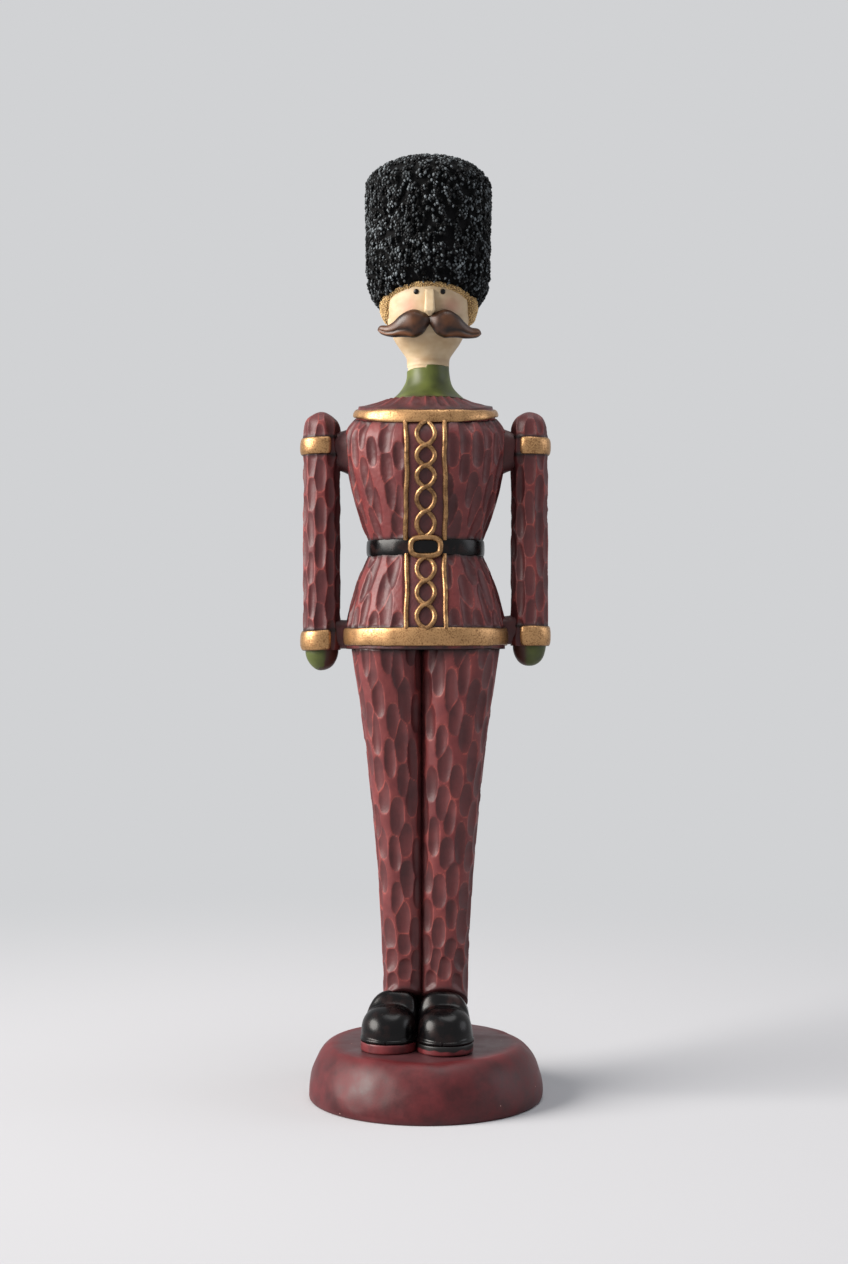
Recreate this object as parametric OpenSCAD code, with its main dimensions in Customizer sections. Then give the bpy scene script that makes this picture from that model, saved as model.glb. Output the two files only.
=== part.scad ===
// Toy soldier figure: a carved-look parade soldier on a round plinth.
// Separate castings, pinned together with dowels and glued.
// Millimetres. +Z is up, the soldier faces -Y, and its own left is +X.

/* [Base] */
// Width of the plinth at its widest
base_d = 89; // [86:1:110]
// Height of the plinth
base_h = 20.6; // [16:0.2:26]
// Width of the plinth's flat top
base_top_d = 69; // [66:1:76]
// Rounding of the plinth's top edge
base_round = 2.4; // [1:0.1:4]
// How far the plinth's foot is drawn in
foot_inset = 1; // [0.4:0.1:2]
// Height of the drawn-in foot
foot_h = 3; // [2:0.1:5]
// Width of the felt pad under the plinth
pad_d = 76; // [60:1:80]
// Thickness of the felt pad
pad_t = 1.6; // [1:0.1:3]

/* [Shoes] */
// Width of one shoe across the toe
shoe_w = 20.6; // [18:0.2:22]
// Width of one shoe across the heel
heel_w = 16; // [15:0.2:17]
// How far the toes reach in front of the figure's axis
toe_reach = 25; // [23:0.2:28]
// How far the heels reach behind the figure's axis
heel_reach = 12; // [11:0.2:16]
// Gap between the two shoes
shoe_gap = 1.2; // [1:0.1:2]
// Turn of both shoes towards the soldier's right, in degrees
toe_turn = 7; // [0:0.5:10]
// Thickness of the sole
sole_t = 3.6; // [2:0.1:5]
// How far the sole stands out round the shoe
sole_lip = 0.4; // [0.2:0.1:0.4]
// Height of the rounded toe cap
toe_h = 12.6; // [11:0.2:14]
// Height of the shoe at the ankle, on the figure's axis
shoe_h = 11.3; // [9:0.1:14]
// Height of the welt round the shoe
welt_h = 1.4; // [0.8:0.1:2]
// How far the welt stands out
welt_out = 0.3; // [0.1:0.1:0.4]

/* [Legs] */
// Length of a leg from ankle to coat
leg_h = 134; // [110:1:160]
// Width of both legs together under the coat
hip_w = 55.6; // [50:0.2:57]
// Depth of the legs under the coat
hip_depth = 40; // [36:0.5:44]
// Width of both legs together at the ankles
ankle_w = 31.4; // [29:0.2:34]
// Depth of the legs at the ankles
ankle_depth = 19; // [17:0.5:20]
// Groove left between the two legs
leg_gap = 0.4; // [0.2:0.1:1]
// Slope of the trouser ends, which rise over the instep
trouser_slope = 0.55; // [0.3:0.05:0.6]
// Height over which that slope runs out
trouser_run = 30; // [24:1:40]

/* [Coat] */
// Depth of the coat as a share of its width
coat_flat = 0.8; // [0.76:0.02:0.9]
// Height of the coat skirt, from legs to waist
skirt_h = 38; // [32:0.5:46]
// Width of the skirt under its hem band
hem_w = 60.4; // [58:0.2:64]
// Width of the waist under the belt
waist_w = 40.6; // [38:0.2:44]
// Height of the coat body, from waist to yoke seam
body_h = 49; // [47:0.5:56]
// Drop of the chest's widest part below the yoke seam
chest_drop = 7.6; // [6:0.2:11]
// Width of the chest
chest_w = 60.8; // [57:0.2:64]
// Width of the coat at the yoke seam
yoke_w = 53.2; // [50:0.2:55]
// How far the yoke draws in at each side over its band
yoke_taper = 1.2; // [0.6:0.1:2]
// Width of the yoke's ledge round the collar
collar_ledge = 2; // [1:0.1:3]
// Height of the yoke's slope above its band
yoke_slope_h = 3.6; // [2.6:0.2:6]
// Forward tilt of the yoke seam
yoke_tilt = 0.16; // [0:0.02:0.18]

/* [Trim] */
// Thickness of the gold bands
band_t = 1.4; // [0.8:0.1:1.8]
// Height of the gold band round the hem
hem_band_h = 6.8; // [5:0.2:9]
// Plain lip of skirt that shows below the hem band
hem_lip = 1.3; // [0.6:0.1:3]
// Height of the gold band round the yoke
yoke_band_h = 5; // [4:0.2:6]
// Height of the belt
belt_h = 6; // [5:0.2:8]
// Thickness of the belt
belt_t = 0.8; // [0.5:0.1:1.4]
// Width of the buckle frame
buckle_w = 13.2; // [11:0.2:14]
// Height of the buckle frame
buckle_h = 9; // [8.4:0.2:11]
// Width of the buckle's bars
buckle_bar = 2.1; // [1.4:0.1:2.4]
// Rounding of the buckle's corners
buckle_corner = 3.4; // [2:0.1:4]
// Thickness of the buckle
buckle_t = 2.2; // [1.8:0.1:3]
// Gap between the ends of braid and cords and the piece they stop at
cord_gap = 0.1; // [0.05:0.05:0.5]
// Distance between the two cords, middle to middle
cord_spacing = 14.2; // [13.4:0.2:16]
// Width of a cord
cord_w = 2; // [1.2:0.1:2.6]
// Height of a cord above the coat
cord_t = 0.9; // [0.5:0.1:1.4]
// Width of the looped braid
braid_w = 8.6; // [7:0.2:9.4]
// Length of one loop of the braid, fitted to a whole number of loops
loop_h = 8.9; // [7:0.1:11]
// Width of the braid's strand
strand_w = 1.6; // [1.2:0.1:2]
// Height of the braid's strand above the coat
strand_t = 1; // [0.6:0.1:1.4]

/* [Arms] */
// Thickness of an arm
arm_d = 13.6; // [12.8:0.2:15]
// Gap between an arm and the widest part of the coat
arm_gap = 1; // [0.6:0.1:3]
// Height of the shoulder dome's top above the yoke seam
shoulder_rise = 2.6; // [0:0.2:5]
// Drop of the right cuff's end below the hem band
cuff_drop = 1.7; // [0.6:0.1:3]
// How much shorter the left arm hangs
left_arm_short = 1.6; // [0:0.2:3]
// Depth of the boss that joins an arm to the coat
shoulder_boss_d = 10.4; // [8:0.2:10.6]
// Height of that boss
shoulder_boss_h = 15; // [11:0.2:16]
// Drop of the shoulder boss below the dome's top
shoulder_drop = 14.4; // [13:0.2:17]
// Height of the upper arm band
arm_band_h = 6.6; // [5:0.2:8]
// Drop of the upper arm band's top below the dome's top
arm_band_drop = 9.6; // [7.8:0.2:12]
// Height of the cuff
cuff_h = 7.6; // [6:0.2:10]
// How far round the arm the gold bands reach, in degrees
band_arc = 246; // [220:2:248]
// Depth of the bridge that joins a cuff to the hem
bridge_depth = 8; // [5:0.5:10]
// Height of that bridge's underside above the cuff's end
bridge_rise = 0.8; // [0.4:0.1:2]
// Height of that bridge's top above the cuff's end
bridge_h = 12; // [10:0.5:16]
// Width of a mitten hand
hand_d = 12.6; // [11:0.2:13.4]
// Length of a mitten hand below the cuff
hand_l = 7.6; // [6:0.2:10]
// Width of the peg that holds a hand in its arm
hand_peg_d = 6; // [4:0.2:7]

/* [Head] */
// Sideways shift of the head towards the soldier's left
head_shift = 1; // [0:0.1:1.4]
// Width of the neck
neck_d = 16; // [14:0.2:18]
// Width of the collar where it sits on the yoke
collar_d = 27.4; // [24:0.2:30]
// Height of the collar
collar_h = 11; // [9:0.2:14]
// Width of the head
head_d = 32.4; // [31:0.2:34]
// Height from the collar to the head's widest level
face_h = 25.5; // [24:0.2:28]
// Height of the head's egg shape below its widest level
chin_drop = 23.5; // [22:0.2:26]
// Gap between the fringe and the eyes
eye_gap = 0.15; // [0.1:0.05:1]
// Width of an eye
eye_d = 2.1; // [1.6:0.1:2.4]
// Distance between the eyes
eye_spacing = 9.8; // [9:0.2:11]
// Width of the nose at its tip
nose_w = 4.8; // [4:0.1:5.4]
// Height of the nose's tip above the mouth line
nose_rise = 2.9; // [2.8:0.1:4]
// How far the nose stands out at its tip
nose_out = 4.4; // [3:0.1:5]
// Drop of the mouth line below the head's widest level
mouth_drop = 11; // [10:0.2:13]
// Reach of one half of the moustache
moustache_l = 19.2; // [17:0.2:22]
// Thickness of the moustache at its fullest
moustache_d = 9.8; // [8:0.1:10.4]
// Thickness of the hair under the hat
hair_t = 2.4; // [1.6:0.1:2.8]
// Height of the hair that shows at the sides
hair_h = 5.4; // [4:0.2:7]
// Height of the fringe over the brow
fringe_h = 1.3; // [0.8:0.1:2]
// Half the angle that the face opening takes, in degrees
face_angle = 70; // [60:1:76]

/* [Hat] */
// Width of the tall fur hat
hat_d = 47.6; // [44:0.2:52]
// How much narrower the hat is above its rim than under its crown
hat_taper = 1.4; // [0:0.2:3]
// Height of the fur's curls
curl_h = 1.1; // [0.4:0.1:1.4]
// Width of the hat at its rim
rim_d = 39.4; // [39:0.2:42]
// Height of the rim below the head's widest level, at the sides
rim_drop = 3.2; // [1:0.2:4]
// Upward tilt of the rim towards the front
rim_tilt = 0.38; // [0.3:0.01:0.4]
// Height of the hat's straight side
hat_side_h = 45.3; // [40:0.5:60]
// Height of the hat's domed top
hat_dome_h = 12.8; // [8:0.2:18]
// Height of the rounding above the rim
rim_round_h = 9; // [6:0.5:12]

/* [Carving] */
// Length of one gouge cut
gouge_l = 21; // [16:0.5:28]
// Depth of one gouge cut
gouge_depth = 0.8; // [0.3:0.1:1]
// Length over which the cuts run out beside a band
gouge_fade = 5; // [3:0.5:8]

/* [Fits] */
// Glue gap between pieces that seat on a curved face
glue_gap = 0.1; // [0.05:0.05:0.2]
// Radial gap between a dowel and its bore
dowel_gap = 0.05; // [0.02:0.01:0.1]
// Thickness of the waist dowel
waist_dowel_d = 8; // [6:0.5:10]
// Thickness of the neck dowel
neck_dowel_d = 6; // [4:0.5:7]
// Thickness of the hat dowel
hat_dowel_d = 5; // [4:0.5:6]
// Thickness of the hip dowels
hip_dowel_d = 5; // [4:0.5:6]
// Thickness of the ankle rods
ankle_rod_d = 4; // [3:0.5:5]
// Thickness of the shoulder dowels
shoulder_dowel_d = 4; // [3:0.5:6]
// Length that a dowel reaches into each piece
dowel_grip = 9; // [6:0.5:10]

/* [Hidden] */
$fn = 64;

RED = "#6e2a30";
GOLD = "#b08a3c";
BLACK = "#1d1b1c";
GREEN = "#4d5428";
SKIN = "#e3d0ad";
BROWN = "#4a2a22";
TAN = "#9c7446";
STEEL = "#9a9ca0";

// Heights, stacked upward from the floor
shoe_z = base_h + sole_t;
ankle_z = shoe_z + shoe_h;
hip_z = ankle_z + leg_h;
hem_z = hip_z + hem_lip;
hem_top_z = hem_z + hem_band_h;
waist_z = hip_z + skirt_h;
belt_z = waist_z - belt_h / 2;
belt_top_z = waist_z + belt_h / 2;
seam_z = waist_z + body_h;
chest_z = seam_z - chest_drop;
band_top_z = seam_z + yoke_band_h;
collar_z = band_top_z + yoke_slope_h;
chin_z = collar_z + collar_h;
brow_z = chin_z + face_h;
mouth_z = brow_z - mouth_drop;
rim_z = brow_z - rim_drop;
crown_z = rim_z + hat_side_h;
hat_top_z = crown_z + hat_dome_h;
dome_z = seam_z + shoulder_rise;
shoulder_z = dome_z - shoulder_drop;
arm_band_z = dome_z - arm_band_drop - arm_band_h;

// Distances from the figure's axis
arm_r = arm_d / 2;
arm_x = max(chest_w / 2, hem_w / 2 + band_t) + arm_gap + arm_r;
leg_x = ankle_w / 4;
hip_x = hip_w / 4;
cord_x = cord_spacing / 2;
boss_rise = (shoulder_boss_h - shoulder_boss_d) / 2;
head_r = head_d / 2;
neck_r = neck_d / 2;
skirt_drop = waist_z - hem_top_z;
head_top_z = brow_z + chin_drop;
hat_bore_z = head_top_z + dowel_grip;

function mix(a, b, t) = a + (b - a) * t;
function unit(t) = min(1, max(0, t));
function ease(t) = let (u = unit(t)) u * u * (3 - 2 * u);
function spow(v, e) = sign(v) * pow(abs(v), e);
function steps(a, b, n) = [for (i = [0:n]) mix(a, b, i / n)];
function flip(ring) = [for (i = [len(ring) - 1:-1:0]) ring[i]];
function arm_end(side) = hem_z - cuff_drop + (side > 0 ? left_arm_short : 0);

// Half width of the coat at a height: skirt, body, yoke
function skirt_a(z) = mix(waist_w, hem_w, 1 - pow(1 - unit((waist_z - z) / skirt_drop), 1.4)) / 2;
function chest_a(z) = z < chest_z
  ? mix(chest_w, waist_w, pow((chest_z - z) / (chest_z - waist_z), 1.8)) / 2
  : mix(chest_w, yoke_w, pow((z - chest_z) / chest_drop, 2.2)) / 2;
function yoke_a(z) = z < band_top_z
  ? yoke_w / 2 - yoke_taper * (z - seam_z) / yoke_band_h
  : mix(yoke_w / 2 - yoke_taper, collar_d / 2 + collar_ledge, pow((z - band_top_z) / yoke_slope_h, 0.9));
function coat_a(z) = z <= waist_z ? skirt_a(z) : z <= seam_z ? chest_a(z) : yoke_a(z);
// Depth share of the coat, which turns round under the collar
function flat_at(z) = z <= band_top_z ? coat_flat : mix(coat_flat, 1, (z - band_top_z) / yoke_slope_h);
// Forward tilt of the coat's levels: none at the waist, full at the yoke seam
function tilt_at(z) = z <= band_top_z
  ? yoke_tilt * ease((z - waist_z - body_h / 3) / (body_h * 2 / 3))
  : yoke_tilt * (1 - (z - band_top_z) / yoke_slope_h);

// Share of its full depth that a gouge column has at a height; next columns are staggered
function gouge(z, col) = 0.5 + 0.5 * cos(360 * (z / gouge_l + (col % 2) / 2) + 40 * sin(col * 137));
// Fades the gouging out beside a band at either end
function between(z, low, high) = ease((z - low) / gouge_fade) * ease((high - z) / gouge_fade);
// Keeps the strip under the braid and cords smooth
function off_placket(x, y) = y < 0 ? ease((abs(x) - cord_x) / (cord_w * 2)) : 1;

// One level of a carved form: ridge and valley points by turns round the outline
function ring(cx, ax, ay, e, z, tilt, cols, depth, placket) = [
  for (m = [0:2 * cols - 1])
    let (col = floor(m / 2))
    let (open = gouge(z, col))
    let (before = gouge(z, (col + cols - 1) % cols))
    let (turn = m % 2 == 0 ? 0.5 * (before - open) : 0)
    let (th = (m + turn) * 180 / cols)
    let (px = ax * spow(cos(th), e))
    let (py = ay * spow(sin(th), e))
    let (keep = placket ? off_placket(px, py) : 1)
    let (cut = m % 2 == 0 ? 0 : depth * open * keep)
    let (x = (ax - cut) * spow(cos(th), e))
    let (y = (ay - cut) * spow(sin(th), e))
    [cx + x, y, z + tilt * y]];

// A plain level of the coat, grown outward, for cutting pieces that seat on it
function coat_level(z, grow) = [
  for (m = [0:47])
    let (a = (coat_a(z) + grow) / cos(3.75))
    let (y = a * flat_at(z) * sin(m * 7.5))
    [a * cos(m * 7.5), y, z + tilt_at(z) * y]];

// A point on the front of the coat, and the way outward there: square to the face or along its level
function front(x, z) =
  let (a = coat_a(z))
  let (y = -flat_at(z) * sqrt(a * a - x * x))
  [x, y, z + tilt_at(z) * y];
function outward(x, z, level) =
  let (across = front(x + 0.2, z) - front(x - 0.2, z))
  let (up = front(x, z + 0.2) - front(x, z - 0.2))
  let (n = cross(across, up))
  let (way = level ? [n[0], n[1], tilt_at(z) * n[1]] : n)
  way / norm(way);

// Half width and height of a shoe at a distance along it
toe_y = shoe_w / 2 - toe_reach;
heel_y = heel_reach - heel_w / 2;
function shoe_half(y) = y < toe_y ? sqrt(max(0.01, pow(shoe_w / 2, 2) - pow(y - toe_y, 2)))
  : y > heel_y ? sqrt(max(0.01, pow(heel_w / 2, 2) - pow(y - heel_y, 2)))
  : mix(shoe_w, heel_w, (y - toe_y) / (heel_y - toe_y)) / 2;
function shoe_mid(y) = shoe_gap / 2 + mix(shoe_w, heel_w, unit((y - toe_y) / (heel_y - toe_y))) / 2;
function shoe_top(y) = y < toe_y
  ? welt_h + (toe_h - welt_h) * pow(max(0.0004, 1 - pow((y - toe_y) / (shoe_w / 2), 2)), 0.42)
  : mix(toe_h, shoe_h * 2, ease((y - toe_y) / -toe_y));
function shoe_ring(y) =
  let (w = shoe_half(y))
  let (h = shoe_top(y) - welt_h)
  let (left = [[0, -w - welt_out], [welt_h, -w - welt_out], [welt_h, -w]])
  let (over = [for (a = [-75:15:75]) [welt_h + h * pow(cos(a), 0.8), w * spow(sin(a), 0.8)]])
  let (right = [[welt_h, w], [welt_h, w + welt_out], [0, w + welt_out]])
  [for (p = concat(left, over, right)) [shoe_mid(y) + p[1], y, shoe_z + p[0]]];

// Radius of the egg-shaped head, blended into the neck below
function egg(z) = head_r * sqrt(max(0, 1 - pow((z - brow_z) / chin_drop, 2)));
function face_r(z) = z > brow_z ? egg(z) : pow(pow(neck_r, 6) + pow(egg(z), 6), 1 / 6);
function hat_r(z) = z < rim_z + rim_round_h
  ? mix(rim_d, hat_d - hat_taper, sqrt(1 - pow(1 - (z - rim_z) / rim_round_h, 2))) / 2
  : z < crown_z
  ? mix(hat_d - hat_taper, hat_d, (z - rim_z - rim_round_h) / (crown_z - rim_z - rim_round_h)) / 2
  : hat_d / 2 * sqrt(max(0.001, 1 - pow((z - crown_z) / hat_dome_h, 2)));
function circle_level(rx, ry, z, tilt, n) = [
  for (m = [0:n - 1])
    let (y = ry * sin(360 * m / n))
    [rx * cos(360 * m / n), y, z + tilt * y]];

// Skins a stack of levels into one closed solid
module loft(rings) {
  n = len(rings[0]);
  top = len(rings) - 1;
  sides = [for (r = [0:top - 1], s = [0:n - 1], k = [0:1])
    let (a = r * n + s)
    let (b = r * n + (s + 1) % n)
    k == 0 ? [a, a + n, b + n] : [a, b + n, b]];
  low = [for (s = [0:n - 1]) s];
  high = [for (s = [n - 1:-1:0]) top * n + s];
  polyhedron(points = [for (r = rings) each r], faces = concat([low], sides, [high]));
}

// A half-round strand laid along points of the coat front
module strand(path, w, t) {
  last = len(path) - 1;
  loft([for (i = [0:last])
    let (p = path[i])
    let (a = path[max(0, i - 1)])
    let (b = path[min(last, i + 1)])
    let (end = i == 0 || i == last)
    let (along = end ? [0, 0, 1] : front(b[0], b[1]) - front(a[0], a[1]))
    let (out = outward(p[0], p[1], end))
    let (side = cross(along, out) / norm(cross(along, out)))
    let (foot = front(p[0], p[1]) + glue_gap * out)
    [for (f = [-90:45:90]) foot + t * cos(f) * out + w / 2 * sin(f) * side]]);
}

module pin(x, y, low, high, d) {
  translate([x, y, low]) cylinder(h = high - low, d = d);
}

module cross_pin(x0, x1, z, d) {
  translate([x0, 0, z]) rotate([0, 90, 0]) cylinder(h = x1 - x0, d = d);
}

module coat_slice(low, high, grow) {
  loft([for (z = steps(low, high, 7)) coat_level(z, grow)]);
}

module flat_ring(points, tilt) {
  multmatrix([[1, 0, 0, 0], [0, coat_flat, 0, 0], [0, tilt * coat_flat, 1, 0]])
    rotate_extrude($fn = 48) polygon(points);
}

// Band that follows the coat between two heights
module coat_band(low, high, t, tilt) {
  inner = [for (z = steps(low, high, 2)) [coat_a(z) + glue_gap, z]];
  mid = (low + high) / 2;
  r = coat_a(mid);
  flare = (coat_a(high) - coat_a(low)) / 2;
  outer = [for (s = [1, 0.8, 0, -0.8, -1]) [r + flare * s + t * (0.55 + 0.45 * sqrt(1 - s * s)),
    mid + (high - low) / 2 * s]];
  flat_ring(concat(inner, outer), tilt);
}

module sole_outline(grow) {
  hull() {
    translate([shoe_mid(toe_y), toe_y]) circle(d = shoe_w + 2 * grow);
    translate([shoe_mid(heel_y), heel_y]) circle(d = heel_w + 2 * grow);
  }
}

// Sends a piece drawn for the soldier's left to either side
module on_side(side) {
  if (side > 0) children();
  else mirror([1, 0, 0]) children();
}

module base() {
  r = base_d / 2;
  top_r = base_top_d / 2;
  shoulder = base_h - base_round;
  foot = [for (a = [-90:15:0]) [r - foot_inset + foot_inset * cos(a), foot_h + foot_h * sin(a)]];
  wall = [for (t = [0.125:0.125:1]) [r - (r - top_r - base_round) * pow(t, 1.8), mix(foot_h, shoulder, t)]];
  edge = [for (a = [15:15:90]) [top_r + base_round * cos(a), shoulder + base_round * sin(a)]];
  color(RED)
  difference() {
    rotate_extrude() polygon(concat([[0, 0]], foot, wall, edge, [[0, base_h]]));
    translate([0, 0, -1]) cylinder(h = pad_t + 1, d = pad_d + 2 * glue_gap);
    for (s = [-1, 1]) pin(s * leg_x, 0, base_h - dowel_grip, base_h + 1, ankle_rod_d + 2 * dowel_gap);
  }
}

module felt_pad() {
  color("#2c3a2a") cylinder(h = pad_t, d = pad_d);
}

module sole(side) {
  color("#7d2e31")
  difference() {
    rotate([0, 0, -toe_turn]) on_side(side)
      translate([0, 0, base_h]) linear_extrude(sole_t) sole_outline(sole_lip);
    pin(side * leg_x, 0, base_h - 1, shoe_z + 1, ankle_rod_d + 2 * dowel_gap);
  }
}

module shoe(side) {
  ys = concat(
    [for (a = [-86, -75, -60, -45, -30, -15]) toe_y + shoe_w / 2 * sin(a)],
    steps(toe_y, heel_y, 8),
    [for (a = [20, 40, 60, 75, 86]) heel_y + heel_w / 2 * sin(a)]);
  color(BLACK)
  difference() {
    rotate([0, 0, -toe_turn]) on_side(side) loft([for (y = ys) shoe_ring(y)]);
    multmatrix([[1, 0, 0, 0], [0, 1, 0, 0], [0, -trouser_slope, 1, 0]])
      translate([-base_d / 2, -base_d / 2, ankle_z]) cube(base_d);
    pin(side * leg_x, 0, shoe_z - 1, ankle_z + dowel_grip, ankle_rod_d + 2 * dowel_gap);
  }
}

module leg(side) {
  levels = steps(0, 1, 33);
  color(RED)
  difference() {
    on_side(side) loft([for (t = levels)
      let (grow = pow(t, 1.75))
      let (z = mix(ankle_z, hip_z, t))
      let (outer = mix(ankle_w, hip_w, grow) / 2)
      let (half = (outer - leg_gap / 2) / 2)
      ring(leg_gap / 2 + half, half, mix(ankle_depth, hip_depth, grow) / 2, 0.8, z,
        -trouser_slope * (1 - ease((z - ankle_z) / trouser_run)), 10,
        gouge_depth * between(z, ankle_z, hip_z), false)]);
    pin(side * leg_x, 0, ankle_z - dowel_grip, ankle_z + 2 * dowel_grip, ankle_rod_d + 2 * dowel_gap);
    pin(side * hip_x, 0, hip_z - dowel_grip, hip_z + 1, hip_dowel_d + 2 * dowel_gap);
  }
}

module coat_skirt() {
  color(RED)
  difference() {
    loft([for (z = steps(hip_z, waist_z, 14))
      ring(0, coat_a(z), coat_a(z) * coat_flat, 1, z, 0, 18,
        gouge_depth * between(z, hem_top_z, belt_z), true)]);
    for (s = [-1, 1]) pin(s * hip_x, 0, hip_z - 1, hip_z + dowel_grip, hip_dowel_d + 2 * dowel_gap);
    pin(0, 0, waist_z - dowel_grip, waist_z + 1, waist_dowel_d + 2 * dowel_gap);
  }
}

module coat_body() {
  color(RED)
  difference() {
    loft([for (z = steps(waist_z, seam_z, 18))
      ring(0, coat_a(z), coat_a(z) * coat_flat, 1, z, tilt_at(z), 18,
        gouge_depth * between(z, belt_top_z, seam_z), true)]);
    pin(0, 0, waist_z - 1, waist_z + dowel_grip, waist_dowel_d + 2 * dowel_gap);
    pin(head_shift, 0, seam_z - dowel_grip, seam_z + dowel_grip, neck_dowel_d + 2 * dowel_gap);
    for (s = [-1, 1]) on_side(s)
      cross_pin(coat_a(shoulder_z) - dowel_grip, arm_x, shoulder_z, shoulder_dowel_d + 2 * dowel_gap);
  }
}

module shoulder_yoke() {
  zs = concat(steps(seam_z, band_top_z, 1), [for (t = [0.25:0.25:1]) mix(band_top_z, collar_z, t)]);
  color(RED)
  difference() {
    loft([for (z = zs) ring(0, coat_a(z), coat_a(z) * flat_at(z), 1, z, tilt_at(z), 18, 0, false)]);
    pin(head_shift, 0, seam_z - dowel_grip, collar_z + 1, neck_dowel_d + 2 * dowel_gap);
  }
}

module hem_band() {
  color(GOLD) coat_band(hem_z, hem_top_z, band_t, 0);
}

module yoke_band() {
  color(GOLD) coat_band(seam_z, band_top_z, band_t, yoke_tilt);
}

// The belt lies over the joint of skirt and body, so its inside follows both
module belt() {
  inner = [for (z = steps(belt_z, belt_top_z, 2)) [coat_a(z) + glue_gap, z]];
  r = coat_a(belt_top_z) + belt_t;
  color(BLACK) flat_ring(concat(inner, [[r, belt_top_z], [r, belt_z]]), 0);
}

module buckle_outline(inset) {
  w = buckle_w / 2 - inset;
  h = buckle_h / 2 - inset;
  r = max(buckle_bar / 4, buckle_corner - inset);
  hull() for (sx = [-1, 1], sz = [-1, 1]) translate([sx * (w - r), sz * (h - r)]) circle(r = r, $fn = 24);
}

module buckle() {
  r = coat_a(belt_top_z) + belt_t;
  color(GOLD)
  difference() {
    translate([0, -coat_flat * r - buckle_t, waist_z]) rotate([-90, 0, 0])
      linear_extrude(2 * buckle_t) difference() {
        buckle_outline(0);
        buckle_outline(buckle_bar);
      }
    flat_ring(concat([[0, waist_z - buckle_h]],
      [for (t = steps(-1, 1, 8))
        let (z = waist_z + t * buckle_h)
        [max(r, coat_a(z) + glue_gap) + glue_gap, z]],
      [[0, waist_z + buckle_h]]), 0);
  }
}

// Height of the buckle's outline over the waist at a distance from its middle
function buckle_rise(x) = let (in = x - buckle_w / 2 + buckle_corner)
  in >= buckle_corner ? 0
  : buckle_h / 2 - buckle_corner + sqrt(pow(buckle_corner, 2) - pow(max(0, in), 2));
// Where the cords stop above and below the waist
cord_off = max(belt_h / 2, buckle_rise(cord_x - cord_w / 2)) + cord_gap;

// Two strands that swing from side to side and cross between the loops
module braid(low, high) {
  loops = max(1, round((high - low) / loop_h));
  half = (braid_w - strand_w) / 2;
  color(GOLD)
  for (s = [-1, 1]) strand([for (t = steps(0, loops, loops * 9))
    [s * half * spow(sin(180 * t), 0.8) * (floor(t) % 2 == 0 ? 1 : -1) * (sin(180 * t) < 0 ? -1 : 1),
      mix(low, high, t / loops)]], strand_w, strand_t);
}

module cord(side, low, high) {
  color(GOLD) strand([for (z = steps(low, high, 10)) [side * cord_x, z]], cord_w, cord_t);
}

module collar() {
  wall = [for (t = steps(0, 1, 8))
    [neck_r + (collar_d / 2 - neck_r) * pow(1 - t, 3), collar_z + collar_h * t]];
  color(GREEN)
  translate([head_shift, 0, 0]) difference() {
    rotate_extrude() polygon(concat([[0, collar_z]], wall, [[0, chin_z]]));
    pin(0, 0, collar_z - 1, chin_z + 1, neck_dowel_d + 2 * dowel_gap);
  }
}

module head_form(grow) {
  wall = [for (t = steps(0, 1, 22))
    let (z = mix(chin_z, head_top_z, t))
    [face_r(z) + (t < 1 ? grow : 0), z + grow * t]];
  rotate_extrude($fn = 48) polygon(concat([[0, chin_z]], wall));
}

eye_x = eye_spacing / 2;
eye_y = -sqrt(head_r * head_r - eye_x * eye_x);
eye_z = rim_z - rim_tilt * eye_y - fringe_h - eye_gap - eye_d / 2;
eye_pin_l = eye_d * 1.15;
eye_pin_r = eye_d * 0.3;

module head() {
  color(SKIN)
  translate([head_shift, 0, 0]) difference() {
    head_form(0);
    pin(0, 0, chin_z - 1, chin_z + dowel_grip, neck_dowel_d + 2 * dowel_gap);
    pin(0, 0, head_top_z - dowel_grip, head_top_z + 1, hat_dowel_d + 2 * dowel_gap);
    for (s = [-1, 1]) translate([s * eye_x, eye_y + eye_pin_l, eye_z]) rotate([90, 0, 0])
      cylinder(h = 2 * eye_pin_l, r = eye_pin_r + dowel_gap, $fn = 24);
  }
}

// Round-headed eye pins
module eyes() {
  color(BLACK)
  translate([head_shift, 0, 0]) for (s = [-1, 1]) difference() {
    translate([s * eye_x, eye_y, eye_z]) rotate([90, 0, 0]) rotate_extrude($fn = 24)
      polygon(concat([[0, -eye_pin_l], [eye_pin_r, -eye_pin_l]],
        [[eye_pin_r, -eye_pin_r], [eye_d / 2, -eye_pin_r]],
        [for (a = [0:18:90]) [eye_d / 2 * cos(a), eye_pin_r * sin(a)]]));
    difference() {
      head_form(glue_gap / 2);
      translate([s * eye_x, eye_y + 1.2 * eye_pin_l, eye_z]) rotate([90, 0, 0])
        cylinder(h = 2 * eye_pin_l, r = eye_pin_r + dowel_gap / 2, $fn = 24);
    }
  }
}

module nose() {
  low = mouth_z + nose_rise;
  edge = nose_w / 6;
  high = rim_z - rim_tilt * eye_y - fringe_h - edge;
  tip = -face_r(low + 2 * edge) - nose_out;
  root = -head_r - edge / 2;
  color(SKIN)
  translate([head_shift, 0, 0]) difference() {
    hull() {
      translate([-nose_w / 2, root + 4 * edge, low]) cube([nose_w, edge, edge]);
      translate([-nose_w * 0.2, tip, low + 2 * edge]) cube([nose_w * 0.4, edge, edge]);
      translate([-nose_w * 0.2, tip + edge, low + edge / 2]) cube([nose_w * 0.4, edge, edge]);
      translate([-nose_w * 0.22, root, high - edge]) cube([nose_w * 0.44, 4 * edge, edge]);
    }
    head_form(glue_gap);
  }
}

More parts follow.
